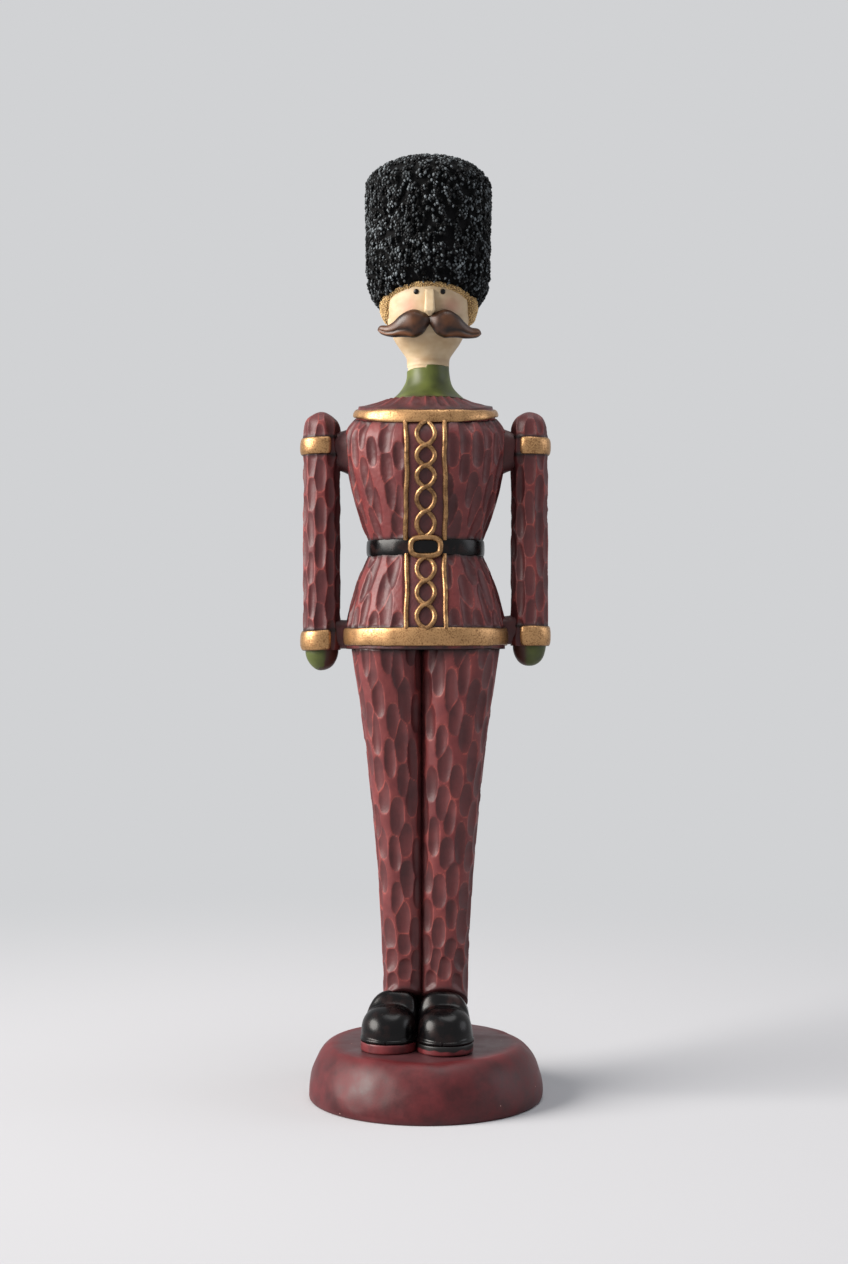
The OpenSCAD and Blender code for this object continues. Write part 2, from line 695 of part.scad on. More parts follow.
// Drooping leaf with an upturned tip, wrapped round the face
function tash(t) = [
  2 * glue_gap + moustache_l * t,
  -face_r(mouth_z) - 0.19 * moustache_d + 0.39 * moustache_l * t * t,
  mouth_z - moustache_l * (0.27 * pow(sin(120 * t), 2) - 0.083 * pow(t, 4))];
function tash_r(t) = moustache_d / 2 * (1 - 0.3 * t)
  * (0.16 + 0.84 * pow(sin(180 * pow(unit(t * 0.985), 0.72)), 0.9));

module moustache(side) {
  color(BROWN)
  translate([head_shift, 0, 0]) on_side(side) difference() {
    loft([for (t = steps(0, 1, 14))
      let (along = tash(t + 0.02) - tash(t - 0.02))
      let (ahead = t < 0.01 ? [1, 0, 0] : along / norm(along))
      let (out0 = [0, -1, 0] + ahead[1] * ahead)
      let (out = out0 / norm(out0))
      let (up = cross(ahead, out))
      [for (m = [0:11]) tash(t) + tash_r(t) * (0.8 * cos(m * 30) * out + sin(m * 30) * up)]]);
    head_form(glue_gap);
  }
}

module hair() {
  low = rim_z - hair_h;
  color(TAN)
  translate([head_shift, 0, 0]) difference() {
    loft([for (t = steps(0, 1, 5))
      let (r = mix(face_r(low) + hair_t / 6, head_r + hair_t, sqrt(1 - pow(1 - t, 2))))
      circle_level(r, r * 0.93, mix(low, rim_z, t), -rim_tilt, 40)]);
    head_form(glue_gap);
    multmatrix([[1, 0, 0, 0], [0, 1, 0, 0], [0, -rim_tilt, 1, 0]])
      translate([0, 0, rim_z - fringe_h - hat_d]) linear_extrude(hat_d)
        polygon([[0, 0], [hat_d * sin(face_angle), -hat_d * cos(face_angle)], [hat_d, -hat_d],
          [-hat_d, -hat_d], [-hat_d * sin(face_angle), -hat_d * cos(face_angle)]]);
  }
}

// One level of the hat: ridges of curled fur, with the curls of next ridges staggered
function fur_level(z, row) =
  let (n = 84)
  let (tilt = -rim_tilt * (1 - ease((z - rim_z) / (hat_side_h * 2 / 3))))
  let (depth = curl_h * ease((z - rim_z) / rim_round_h) * ease((hat_top_z - z) / rim_round_h))
  [for (m = [0:n - 1])
    let (curl = m % 2 == 1 ? 1 : ((m / 2 + row) % 2) * 0.6)
    let (r = hat_r(z) - depth * curl)
    let (y = r * sin(360 * m / n))
    [r * cos(360 * m / n), y, z + tilt * y]];

module bearskin_hat() {
  zs = concat([for (t = [0, 0.08, 0.22, 0.45, 0.72, 1]) rim_z + rim_round_h * t],
    [for (t = steps(1 / 12, 1, 11)) mix(rim_z + rim_round_h, crown_z, t)],
    [for (a = [16, 31, 46, 60, 74, 88]) crown_z + hat_dome_h * sin(a)]);
  color(BLACK)
  translate([head_shift, 0, 0]) difference() {
    loft([for (i = [0:len(zs) - 1]) fur_level(zs[i], i)]);
    head_form(glue_gap);
    pin(0, 0, head_top_z - 1, hat_bore_z, hat_dowel_d + 2 * dowel_gap);
  }
}

// The arm is one casting with its shoulder boss and the bridge to the hem
module arm(side) {
  end = arm_end(side);
  color(RED)
  on_side(side) difference() {
    union() {
      loft(concat(
        [for (z = steps(end, dome_z - arm_r, 22))
          [for (p = ring(0, arm_r, arm_r, 1, z, 0, 6,
            gouge_depth * between(z, end + cuff_h, dome_z - arm_r)
            * (1 - between(z, arm_band_z - gouge_fade, arm_band_z + arm_band_h + gouge_fade)),
            false)) p + [arm_x, 0, 0]]],
        [for (a = [20, 40, 60, 80]) [for (p = circle_level(arm_r * cos(a), arm_r * cos(a),
          dome_z - arm_r + arm_r * sin(a), 0, 12)) p + [arm_x, 0, 0]]]));
      difference() {
        translate([chest_w / 4, 0, shoulder_z]) rotate([90, 0, 90])
        linear_extrude(arm_x - chest_w / 4) union() {
          for (s = [-1, 1]) translate([0, s * boss_rise]) circle(d = shoulder_boss_d);
          square([shoulder_boss_d, 2 * boss_rise], center = true);
        }
        coat_slice(shoulder_z - shoulder_boss_h * 0.6,
          min(seam_z, shoulder_z + shoulder_boss_h * 0.6), 2 * glue_gap);
      }
      difference() {
        translate([hem_w / 4, -bridge_depth / 2, end + bridge_rise])
          cube([arm_x - hem_w / 4, bridge_depth, bridge_h - bridge_rise]);
        flat_ring(concat([[0, hem_z - bridge_h], [hem_w / 2 + band_t + glue_gap, hem_z - bridge_h]],
          [for (t = steps(0, bridge_h, 3))
            let (wall = t == 0 ? hem_w / 2 + band_t : coat_a(hem_top_z + t) + glue_gap)
            [wall + glue_gap, hem_top_z + t]],
          [[0, hem_top_z + bridge_h]]), 0);
      }
    }
    cross_pin(0, arm_x + arm_r / 2, shoulder_z, shoulder_dowel_d + 2 * dowel_gap);
    pin(arm_x, 0, end - 1, end + dowel_grip, hand_peg_d + 2 * dowel_gap);
  }
}

// Gold band round the outer side of an arm, open towards the body
module arm_ring(side, low, h) {
  color(GOLD)
  on_side(side) translate([arm_x, 0, low]) rotate([0, 0, -band_arc / 2]) rotate_extrude(angle = band_arc)
    polygon(concat([[arm_r + glue_gap, 0]],
      [for (s = [-1:0.25:1]) [arm_r + band_t * (0.55 + 0.45 * sqrt(1 - s * s)), h / 2 + h / 2 * s]],
      [[arm_r + glue_gap, h]]));
}

module hand(side) {
  end = arm_end(side);
  color(GREEN)
  on_side(side) translate([arm_x, 0, end]) rotate_extrude() polygon(concat(
    [for (a = [-90:15:0]) [hand_d / 2 * cos(a), hand_l * sin(a)]],
    [[hand_peg_d / 2, 0], [hand_peg_d / 2, dowel_grip - 0.4], [0, dowel_grip - 0.4]]));
}

module waist_dowel() {
  color(STEEL) pin(0, 0, waist_z - dowel_grip, waist_z + dowel_grip, waist_dowel_d);
}

module neck_dowel() {
  color(STEEL) pin(head_shift, 0, seam_z - dowel_grip, chin_z + dowel_grip, neck_dowel_d);
}

module hat_dowel() {
  color(STEEL) pin(head_shift, 0, head_top_z - dowel_grip, hat_bore_z, hat_dowel_d);
}

module shoulder_dowel(side) {
  color(STEEL) on_side(side)
    cross_pin(coat_a(shoulder_z) - dowel_grip, arm_x + arm_r / 2, shoulder_z, shoulder_dowel_d);
}

module hip_dowel(side) {
  color(STEEL) pin(side * hip_x, 0, hip_z - dowel_grip, hip_z + dowel_grip, hip_dowel_d);
}

module ankle_rod(side) {
  color(STEEL) pin(side * leg_x, 0, base_h - dowel_grip, ankle_z + 2 * dowel_grip, ankle_rod_d);
}

base();
felt_pad();
sole(1);  // left_sole
sole(-1);  // right_sole
shoe(1);  // left_shoe
shoe(-1);  // right_shoe
leg(1);  // left_leg
leg(-1);  // right_leg
coat_skirt();
coat_body();
shoulder_yoke();
hem_band();
yoke_band();
belt();
buckle();
braid(waist_z + buckle_h / 2 + cord_gap, seam_z - cord_gap);  // upper_braid
braid(hem_top_z + cord_gap, waist_z - buckle_h / 2 - cord_gap);  // lower_braid
cord(1, waist_z + cord_off, seam_z - cord_gap);  // left_upper_cord
cord(-1, waist_z + cord_off, seam_z - cord_gap);  // right_upper_cord
cord(1, hem_top_z + cord_gap, waist_z - cord_off);  // left_lower_cord
cord(-1, hem_top_z + cord_gap, waist_z - cord_off);  // right_lower_cord
collar();
head();
nose();
eyes();
moustache(1);  // left_moustache
moustache(-1);  // right_moustache
hair();
bearskin_hat();
arm(1);  // left_arm
arm(-1);  // right_arm
arm_ring(1, arm_band_z, arm_band_h);  // left_armband
arm_ring(-1, arm_band_z, arm_band_h);  // right_armband
arm_ring(1, arm_end(1), cuff_h);  // left_cuff
arm_ring(-1, arm_end(-1), cuff_h);  // right_cuff
hand(1);  // left_hand
hand(-1);  // right_hand
waist_dowel();
neck_dowel();
hat_dowel();
shoulder_dowel(1);  // left_shoulder_dowel
shoulder_dowel(-1);  // right_shoulder_dowel
hip_dowel(1);  // left_hip_dowel
hip_dowel(-1);  // right_hip_dowel
ankle_rod(1);  // left_ankle_rod
ankle_rod(-1);  // right_ankle_rod
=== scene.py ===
# %% Load the frame
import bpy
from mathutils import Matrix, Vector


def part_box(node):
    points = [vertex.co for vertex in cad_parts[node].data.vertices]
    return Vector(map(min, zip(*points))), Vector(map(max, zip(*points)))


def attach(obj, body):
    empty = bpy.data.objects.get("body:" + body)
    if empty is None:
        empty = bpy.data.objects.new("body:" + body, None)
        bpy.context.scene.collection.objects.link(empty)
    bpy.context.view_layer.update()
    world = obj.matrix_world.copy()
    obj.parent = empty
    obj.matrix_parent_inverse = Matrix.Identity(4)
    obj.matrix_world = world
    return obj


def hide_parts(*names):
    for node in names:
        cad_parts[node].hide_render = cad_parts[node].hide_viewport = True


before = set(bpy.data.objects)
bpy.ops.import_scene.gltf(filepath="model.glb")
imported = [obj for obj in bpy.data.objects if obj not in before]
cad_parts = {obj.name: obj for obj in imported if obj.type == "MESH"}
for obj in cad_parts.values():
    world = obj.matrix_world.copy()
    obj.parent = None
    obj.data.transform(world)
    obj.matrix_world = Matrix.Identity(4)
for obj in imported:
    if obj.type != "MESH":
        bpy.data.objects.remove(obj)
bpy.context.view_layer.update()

# %% [markdown]
# # A carved toy soldier
# The figure is a set of resin castings with a wood-carved look: gouge cuts all over the red
# coat, legs and arms, raised gold trim, a hat of curled fur and a painted face. The frame gives
# every casting's place and size. This script puts the fine form and the paint on each one.

# %% [markdown]
# ## Measures
# A carver marks out in millimetres, so all shapes here are in millimetres and become metres only
# when a mesh is made. Sizes could be typed in, but read from the castings' boxes they stay true
# to the frame. A few small functions for easing, noise and round forms serve every piece.

# %% Units, boxes and small shape functions
import math

import bpy
import bmesh
import numpy as np
from mathutils import Vector

MM = 0.001
X, Y, Z = range(3)
NOISE_VALUES, NOISE_STRIDES = 4096, (73, 179, 283)


def box(node):
    """Lowest and highest corner of a casting, in millimetres."""
    low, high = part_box(node)
    return np.array(low) / MM, np.array(high) / MM


def middle(node, axis):
    """Middle of a casting along an axis."""
    low, high = box(node)
    return (low[axis] + high[axis]) / 2


def half_size(node, axis):
    """Half of a casting's size along an axis."""
    low, high = box(node)
    return (high[axis] - low[axis]) / 2


def mix(a, b, t):
    return a + (b - a) * t


def part_way(value, start, end):
    """How far a value is from start to end, held between 0 and 1."""
    return np.clip((value - start) / (end - start), 0, 1)


def ease(t):
    """Smooth step from 0 to 1."""
    t = np.clip(t, 0, 1)
    return t * t * (3 - 2 * t)


def bell(distance, width):
    """1 at no distance, fading to nothing over about twice the width."""
    return np.exp(-(np.asarray(distance) / width) ** 2)


def spow(value, power):
    """A power that keeps the sign; powers under 1 make a circle's sine and cosine boxier."""
    return np.sign(value) * np.abs(value) ** power


def turns(count):
    """Angles that go once round in even steps."""
    return np.linspace(0, 2 * math.pi, count, endpoint=False)


def xyz(x, y, z):
    """Points from three numbers or grids of numbers."""
    return np.stack(np.broadcast_arrays(x, y, z), -1)


def lathe(axis_x, r, z, angle, flat=1.0):
    """Levels of a turned form round an upright axis; flat is its depth as a share of its width."""
    return xyz(axis_x + r * np.cos(angle), flat * r * np.sin(angle), z)


def lumps(points, size, seed):
    """Smooth seeded noise from -1 to 1, with bumps about `size` millimetres across."""
    table = np.random.default_rng(seed).uniform(-1, 1, NOISE_VALUES)
    cell = np.floor(points / size).astype(int)
    t = ease(points / size - cell)
    total = 0
    for corner in np.ndindex(2, 2, 2):
        at = (cell + corner) @ NOISE_STRIDES % NOISE_VALUES
        total = total + table[at] * np.prod(np.where(corner, t, 1 - t), axis=-1)
    return total


# %% [markdown]
# ## Skins
# Nearly every casting here is a stack of outlines: rings of points that change from level to
# level. Sculpting by hand could give them too, but one function that skins such stacks keeps each
# casting to a few lines. A stack either closes in a pole at each end, like a leg, or bites its
# own tail, like a gold band. Numbers kept per point, such as how worn the paint is, or how much
# dirt, wash and painted shade it holds, go into the mesh as attributes, which the finishes read.

# %% Skins from stacks of outlines
def put(name, data):
    """A new object in the scene."""
    thing = bpy.data.objects.new(name, data)
    bpy.context.collection.objects.link(thing)
    return thing


def keep_numbers(mesh, key, values):
    """Numbers kept with a mesh's points."""
    mesh.attributes.new(key, "FLOAT", "POINT").data.foreach_set("value", values)


def with_poles(grid, loop):
    """A grid of levels as one list; unless it loops, the means of both end levels are its poles."""
    flat = grid.reshape(-1, *grid.shape[2:])
    return flat if loop else np.concatenate([flat, grid[[0, -1]].mean(axis=1)])


def skin(name, parts, loop=False):
    """One piece from stacks: a part holds "rings" (levels, around, 3) and paint numbers, 0 to 1."""
    faces, first = [], 0
    for part in parts:
        levels, around, _ = part["rings"].shape
        i, j = np.meshgrid(np.arange(levels if loop else levels - 1), np.arange(around), indexing="ij")
        here, above = first + i * around, first + (i + 1) % levels * around
        side = (j + 1) % around
        faces += np.stack([here + j, here + side, above + side, above + j], -1).reshape(-1, 4).tolist()
        end = first + levels * around
        if not loop:
            last = end - around
            for k in range(around):
                after = (k + 1) % around
                faces.append([end, first + after, first + k])
                faces.append([end + 1, last + k, last + after])
            end += 2
        first = end
    mesh = bpy.data.meshes.new(name)
    points = np.concatenate([with_poles(part["rings"], loop) for part in parts])
    mesh.from_pydata((points * MM).tolist(), [], faces)
    work = bmesh.new()
    work.from_mesh(mesh)
    bmesh.ops.recalc_face_normals(work, faces=work.faces)
    work.to_mesh(mesh)
    work.free()
    for key in parts[0]:
        if key != "rings":
            grids = [np.broadcast_to(part[key], part["rings"].shape[:2]) for part in parts]
            values = [with_poles(np.clip(grid, 0.0, 1.0), loop) for grid in grids]
            keep_numbers(mesh, key, np.concatenate(values))
    mesh.shade_smooth()
    return put(name, mesh)


# %% Castings in their finish
paints = {}


def stand_in(piece, slot, node):
    """Paints a piece and lets it stand for its casting."""
    if paints[slot].name not in piece.data.materials:
        piece.data.materials.append(paints[slot])
    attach(piece, "root")
    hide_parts(node)
    print(piece.name, "stands for", node, "with", len(piece.data.polygons), "faces")


def cast(name, slot, parts, loop=False, node=None):
    """A skinned piece that stands for the casting of its name, or for another."""
    stand_in(skin(name, parts, loop), slot, node or name)


def push(rings, amount):
    """Moves each point outward by its own amount; outlines run anticlockwise seen from above."""
    around = np.roll(rings, -1, axis=1) - np.roll(rings, 1, axis=1)
    way = np.cross(around, np.gradient(rings, axis=0))
    way = way / np.maximum(np.linalg.norm(way, axis=-1, keepdims=True), 1e-9)
    return rings + way * amount[..., None]


def uneven(rings, amount, size, seed):
    """Shakes points a little, as in a casting made by hand."""
    return rings + amount * lumps(rings, size, seed)[..., None]


# %% [markdown]
# ## Finishes
# The whole figure is painted resin. Photographs of paint could be wrapped round it, but paint
# made of nodes stays sharp from near by and needs no unwrapping. One function turns sRGB hex to
# linear colour, and one adds a node with its settings and links. Sizes of patches and specks are
# in millimetres. On a colour Mix node, socket 0 is the share and 6 and 7 are the colours. On a Map
# Range node, 0 is the value, 1 and 2 the range it comes from, 3 and 4 the range it goes to.

# %% Helpers for finishes
def linear(code):
    """An sRGB hex colour as linear RGBA."""
    parts = [int(code[i:i + 2], 16) / 255 for i in (1, 3, 5)]
    return [c / 12.92 if c <= 0.04045 else ((c + 0.055) / 1.055) ** 2.4 for c in parts] + [1]


def fill(tree, node, sockets):
    """Sets or links a node's sockets, by name or number."""
    for key, value in sockets.items():
        if isinstance(value, bpy.types.NodeSocket):
            tree.links.new(value, node.inputs[key])
        else:
            node.inputs[key].default_value = value


def add(tree, kind, sockets=None, out=0, **settings):
    """Adds a node: settings are its properties, sockets its values or links. Gives the output of a
    name or number, or the node itself."""
    node = tree.nodes.new(kind)
    for key, value in settings.items():
        setattr(node, key, value)
    fill(tree, node, sockets or {})
    return node if out is None else node.outputs[out]


def new_finish(slot, name, numbers=(), noises=()):
    """Begins a finish: its tree, the paint numbers it reads, and noises of a size (mm) and detail."""
    paints[slot] = bpy.data.materials.new(name)
    paints[slot].use_nodes = True
    tree = paints[slot].node_tree
    where = add(tree, "ShaderNodeTexCoord", out="Object")
    found = [add(tree, "ShaderNodeAttribute", attribute_name=key, out="Fac") for key in numbers]
    for size, detail in noises:
        found.append(add(tree, "ShaderNodeTexNoise",
                         {"Vector": where, "Scale": 1 / (size * MM), "Detail": detail}))
    return tree, *found


def end_finish(tree, ground, coats, sheen=None, bump=None, plain=None):
    """Ends a finish: coats as (share, colour) laid over a ground, sheen as a Map Range from a value
    to roughness, bump as (height, strength, mm), and plain values for the shader."""
    paint, sockets = linear(ground), dict(plain or {})
    for share, coat in coats:
        coat = linear(coat) if isinstance(coat, str) else coat
        paint = add(tree, "ShaderNodeMix", {0: share, 6: paint, 7: coat}, data_type="RGBA", out=2)
    sockets["Base Color"] = paint
    if sheen:
        sockets["Roughness"] = add(tree, "ShaderNodeMapRange", dict(enumerate(sheen)))
    if bump:
        height, strength, deep = bump
        sockets["Normal"] = add(tree, "ShaderNodeBump", {"Strength": strength, "Distance": deep * MM,
                                                         "Height": height})
    fill(tree, tree.nodes["Principled BSDF"], sockets)
    print("finish", len(paints), list(paints.values())[-1].name, "with", len(tree.nodes), "nodes")


# %% [markdown]
# ### Carved red lacquer
# Coat, legs and arms wear satin burgundy lacquer over a dark stain. To the eye the scoops stay
# dark and mauve, the lands between them are rubbed back to a warmer red, sharp edges are worn
# paler in places, and a black wash and painted shade sit in the corners. The carving itself knows
# where its lands and edges are, so it hands them over as numbers, which no texture could follow so closely.

# %% Carved red lacquer
tree, land, wash_and_shade, arris, patch, speck = new_finish(
    "red_lacquer", "carved_red_lacquer", ("land", "wash_and_shade", "arris"), ((7, 3), (0.7, 2)))
spread = add(tree, "ShaderNodeMapRange", {0: patch, 1: 0.35, 2: 0.65})
rubbed = add(tree, "ShaderNodeMix", {0: spread, 6: linear("#602527"), 7: linear("#763433")},
             data_type="RGBA", out=2)
jitter = add(tree, "ShaderNodeMath", {0: speck, 1: 0.7, 2: land}, operation="MULTIPLY_ADD")
worn = add(tree, "ShaderNodeMapRange", {0: jitter, 1: 0.55, 2: 1.15})
broken = add(tree, "ShaderNodeMapRange", {0: patch, 1: 0.36, 2: 0.58})
broken = add(tree, "ShaderNodeMath", {0: broken, 1: arris}, operation="MULTIPLY")
# the near-black is a dark wash and painted shade in corners and crevices
end_finish(tree, "#4b2123", ((spread, "#5d2a2b"), (worn, rubbed), (broken, "#99473f"), (wash_and_shade, "#150809")),
           (speck, 0, 1, 0.4, 0.56), (speck, 0.5, 0.12), {"Specular IOR Level": 0.38})

# %% [markdown]
# ### Plinth lacquer
# The plinth has the same burgundy, brushed in broad patches on a smooth face. The eye sees it
# rubbed red along the edge, darker and browner over its flat top, with painted shade at its foot
# and a few pale flecks of dust. A second finish is simpler here than one that serves both carved
# and smooth castings.

# %% Plinth lacquer
tree, rub, wash_and_shade, speck = new_finish("plinth_red", "plinth_red_lacquer", ("rub", "wash_and_shade"), ((0.8, 2),))
where = tree.nodes["Texture Coordinate"].outputs["Object"]
patch = add(tree, "ShaderNodeTexNoise",
            {"Vector": where, "Scale": 1 / (9 * MM), "Detail": 6, "Roughness": 0.65})
fleck = add(tree, "ShaderNodeTexVoronoi", {"Vector": where, "Scale": 1 / (5 * MM)})
dust = add(tree, "ShaderNodeMapRange", {0: fleck, 1: 0.05, 2: 0.03})
spread = add(tree, "ShaderNodeMapRange", {0: patch, 1: 0.36, 2: 0.66})
# the grey-brown darkens the flat top and is painted shade along the foot
end_finish(tree, "#3a0d11", ((spread, "#571a1e"), (rub, "#7d2c2f"), (wash_and_shade, "#4a2b2e"), (dust, "#b98f86")),
           (patch, 0.3, 0.7, 0.4, 0.56), (speck, 0.3, 0.07), {"Specular IOR Level": 0.35})

# %% [markdown]
# ### Antique gold
# The trim is bronze-powder paint over brown. To the eye it is bright where it is thick and
# speckled where the ground shows, and dirt with a dark wash and painted shade sits along its edges.
# Leaf would be a plain mirror of gold; paint is less metallic, and its roughness follows how well it covers.

# %% Antique gold
tree, wash_and_shade, patch, speck = new_finish(
    "antique_gold", "antique_gold_paint", ("wash_and_shade",), ((3.5, 2), (0.55, 2)))
cover = add(tree, "ShaderNodeMath", {0: patch, 1: 0.35, 2: speck}, operation="MULTIPLY_ADD")
cover = add(tree, "ShaderNodeMapRange", {0: cover, 1: 0.4, 2: 0.72})
# the dark brown is dirt in patches, with a dark wash and painted shade along the edges
end_finish(tree, "#6e4d2f", ((cover, "#b58c60"), (wash_and_shade, "#3a2212")), (cover, 0, 1, 0.55, 0.36),
           (speck, 0.5, 0.1), {"Metallic": 0.8})

# %% [markdown]
# ### Black gloss
# Belt and shoes are black enamel, the glossiest paint on the figure, so lamps show in it as soft
# spots. Here and there a brown ground is rubbed through. Pure black would lose the form, so the
# gloss varies a little from patch to patch.

# %% Black gloss
tree, rub, patch, speck = new_finish("black_gloss", "black_gloss_enamel", ("rub",), ((5, 4), (0.9, 2)))
thin = add(tree, "ShaderNodeMapRange", {0: patch, 1: 0.5, 2: 0.75})
thin = add(tree, "ShaderNodeMath", {0: thin, 1: rub}, operation="MULTIPLY")
end_finish(tree, "#050405", ((thin, "#321c19"),), (patch, 0.3, 0.7, 0.2, 0.31), (speck, 0.25, 0.06),
           {"Specular IOR Level": 0.21})

# %% [markdown]
# ### Satin enamels
# Face, moustache, collar, hands and soles are soft satin enamels, each brushed over a darker
# ground, with a wash and painted shade in the hollows and a paler or pinker rub where the form stands out.
# Only their colours, patch sizes and sheen differ, so one loop over a table makes them all.

# %% Face cream, moustache brown, olive green and sole red
# Each row: finish, then the colours of wash and painted shade, rub and two patches, patch size in
# millimetres, and the lowest and highest roughness.
SATIN = {
    # warm cream with pink cheeks, and brown wash and painted shade in the creases
    "cream_face": ("face_cream_enamel", "#8d6a45", "#c98672", "#c4ab87", "#d0bb9a", 5, 0.42, 0.55),
    # dark wood brown with lighter strokes and a soft shine
    "moustache_brown": ("moustache_brown_enamel", "#0c0705", "#764a2c", "#1e110c", "#472a1a", 4, 0.32, 0.46),
    # mossy green that lightens in streaks, with red-brown smears
    "olive_green": ("olive_green_enamel", "#3f2119", "#7c8740", "#383e1b", "#485022", 6, 0.4, 0.52),
    # plain red, with the black of the welt run over it
    "sole_red": ("sole_red_enamel", "#0f0d0d", "#7a3235", "#4e1b1f", "#602428", 3, 0.34, 0.46),
}
for slot, (name, hollow, raised, dark, light, size, smooth, rough) in SATIN.items():
    tree, rub, wash_and_shade, patch, speck = new_finish(slot, name, ("rub", "wash_and_shade"), ((size, 4), (0.6, 2)))
    spread = add(tree, "ShaderNodeMapRange", {0: patch, 1: 0.36, 2: 0.64})
    # the hollow colour is a wash and painted shade in the creases
    end_finish(tree, dark, ((spread, light), (rub, raised), (wash_and_shade, hollow)),
               (patch, 0.3, 0.7, smooth, rough), (speck, 0.25, 0.06), {"Specular IOR Level": 0.35})

# %% [markdown]
# ### Fur and hair
# The fur is black, with grey-blue dry-brushed over the crests of its curls; the hair is tan, with
# brown left in the hollows. A dry brush touches only what stands out, and some curls more than
# others, so each curl brings its height and a tone of its own.

# %% Dry-brushed fur black and hair tan
tree, crest, tone, patch = new_finish("fur_black", "dry_brushed_fur_black", ("crest", "tone"), ((11, 2),))
brush = add(tree, "ShaderNodeMapRange", {0: patch, 1: 0.35, 2: 0.7, 3: 0.2, 4: 1})
lit = add(tree, "ShaderNodeMapRange", {0: tone, 1: 0.35, 2: 1})
for share in (lit, crest):
    brush = add(tree, "ShaderNodeMath", {0: brush, 1: share}, operation="MULTIPLY")
end_finish(tree, "#020203", ((brush, "#9aa3a8"),), (crest, 0, 1, 0.85, 0.42),
           plain={"Specular IOR Level": 0.15})

tree, crest, patch = new_finish("hair_tan", "dry_brushed_hair_tan", ("crest",), ((3, 2),))
brush = add(tree, "ShaderNodeMath", {0: patch, 1: 0.8, 2: crest}, operation="MULTIPLY_ADD")
brush = add(tree, "ShaderNodeMapRange", {0: brush, 1: 0.3, 2: 1.1})
end_finish(tree, "#6e4c25", ((brush, "#d2b077"),), (brush, 0, 1, 0.7, 0.55))

# %% [markdown]
# ### Eye black, wool felt and drawn steel
# An eye is a dot of black gloss with a thin brown rim where the dot feathers out. The felt under
# the plinth is matt and fibrous, and the rods inside are bright drawn steel. These are small or
# hidden, so one noise each is enough.

# %% Eye black, felt and steel
tree, rim, speck = new_finish("eye_black", "eye_black_enamel", ("rub",), ((0.4, 2),))
end_finish(tree, "#0d0c0c", ((rim, "#6d5b48"),), (speck, 0, 1, 0.15, 0.3),
           plain={"Specular IOR Level": 0.2})
tree, fibre = new_finish("felt", "wool_felt_green", noises=((0.5, 5),))
end_finish(tree, "#1f2a1e", ((fibre, "#3d4d38"),), bump=(fibre, 0.6, 0.2), plain={"Roughness": 0.95})
tree, streak = new_finish("steel", "drawn_steel_rod", noises=((0.8, 3),))
end_finish(tree, "#8d8f92", ((streak, "#b4b6b8"),), (streak, 0, 1, 0.25, 0.45), plain={"Metallic": 1})

# %% [markdown]
# ## Gouge cuts
# A carver's gouge leaves lens-shaped scoops in staggered rows, with narrow lands between them.
# A bump map would give no real edge, so the cuts are dents in a fine mesh. Each cut has a
# centre, a half width, a half length, a lean and a depth, and its floor is a shallow bowl. At a
# point the deepest bowl wins, which leaves crisp ridges where two cuts meet.

# %% Staggered gouge cuts
COLUMN, ROW = 1.8, 0.51  # a cut's share of the girth in widths, and of the height in lengths
BOWL_ENDS, BOWL_SIDES = 2.8, 2.3
LAND_W, ARRIS_IN, ARRIS_W = 0.16, 0.07, 0.09  # measured as depth, in millimetres


def gouge_cuts(seed, low, high, girth, width, length, depth):
    """Rows of cuts as (share round, height, half width, half length, lean, depth).

    A row fills every other column, and the next row fills the columns between."""
    dice = np.random.default_rng(seed)
    cuts, row, z = [], 0, low
    while z < high + length(high) / 2:
        count = max(3, round(float(girth(z)) / (COLUMN * width)))
        for k in range(count):
            share = (k + 0.5 * (row % 2) + dice.uniform(-0.06, 0.06)) / count
            cuts.append((share, z + length(z) * dice.uniform(-0.13, 0.13), width * dice.uniform(0.42, 0.54),
                         length(z) * dice.uniform(0.44, 0.58), dice.uniform(-0.05, 0.05),
                         depth * dice.uniform(0.7, 1.2)))
        z += length(z) * ROW
        row += 1
    print(len(cuts), "gouge cuts in", row, "rows")
    return cuts


def carve(share, along, girth, cuts):
    """Depth of the cuts on a grid of levels, how much of a land each point is, and its sharp edges."""
    first = np.zeros((len(along), len(share)))
    second = np.zeros_like(first)
    for centre, z, half_w, half_l, lean, deep in cuts:
        rows = np.nonzero(np.abs(along - z) < half_l)[0]
        if len(rows):
            rows = slice(rows[0], rows[-1] + 1)
            v = (along[rows] - z)[:, None]
            u = ((share[None] - centre + 0.5) % 1 - 0.5) * girth[rows, None] - lean * v
            bowl = deep * (1 - np.abs(v / half_l) ** BOWL_ENDS - np.abs(u / half_w) ** BOWL_SIDES)
            second[rows] = np.maximum(second[rows], np.minimum(first[rows], bowl))
            first[rows] = np.maximum(first[rows], bowl)
    edge = np.minimum(first, 1.3 * (first - second))
    return first, 1 - ease(edge / LAND_W), bell(edge - ARRIS_IN, ARRIS_W) * (first > 0.01)


def carved(rings, dents, land, wash_and_shade, arris, fade):
    """A carved part; where the carving fades out, the paint is about as worn as on average."""
    return {"rings": push(rings, -dents), "land": mix(0.3, land, fade), "wash_and_shade": wash_and_shade,
            "arris": 0.8 * arris * fade}


# %% [markdown]
# ## The coat
# Skirt, body and yoke are three castings with one flowing outline: flared hem, drawn-in waist,
# full chest and a yoke that tips forward. Each could be drawn by itself, but the outline is a rule
# of height alone. So it is kept as functions, and the pieces, bands and front trim all read them.

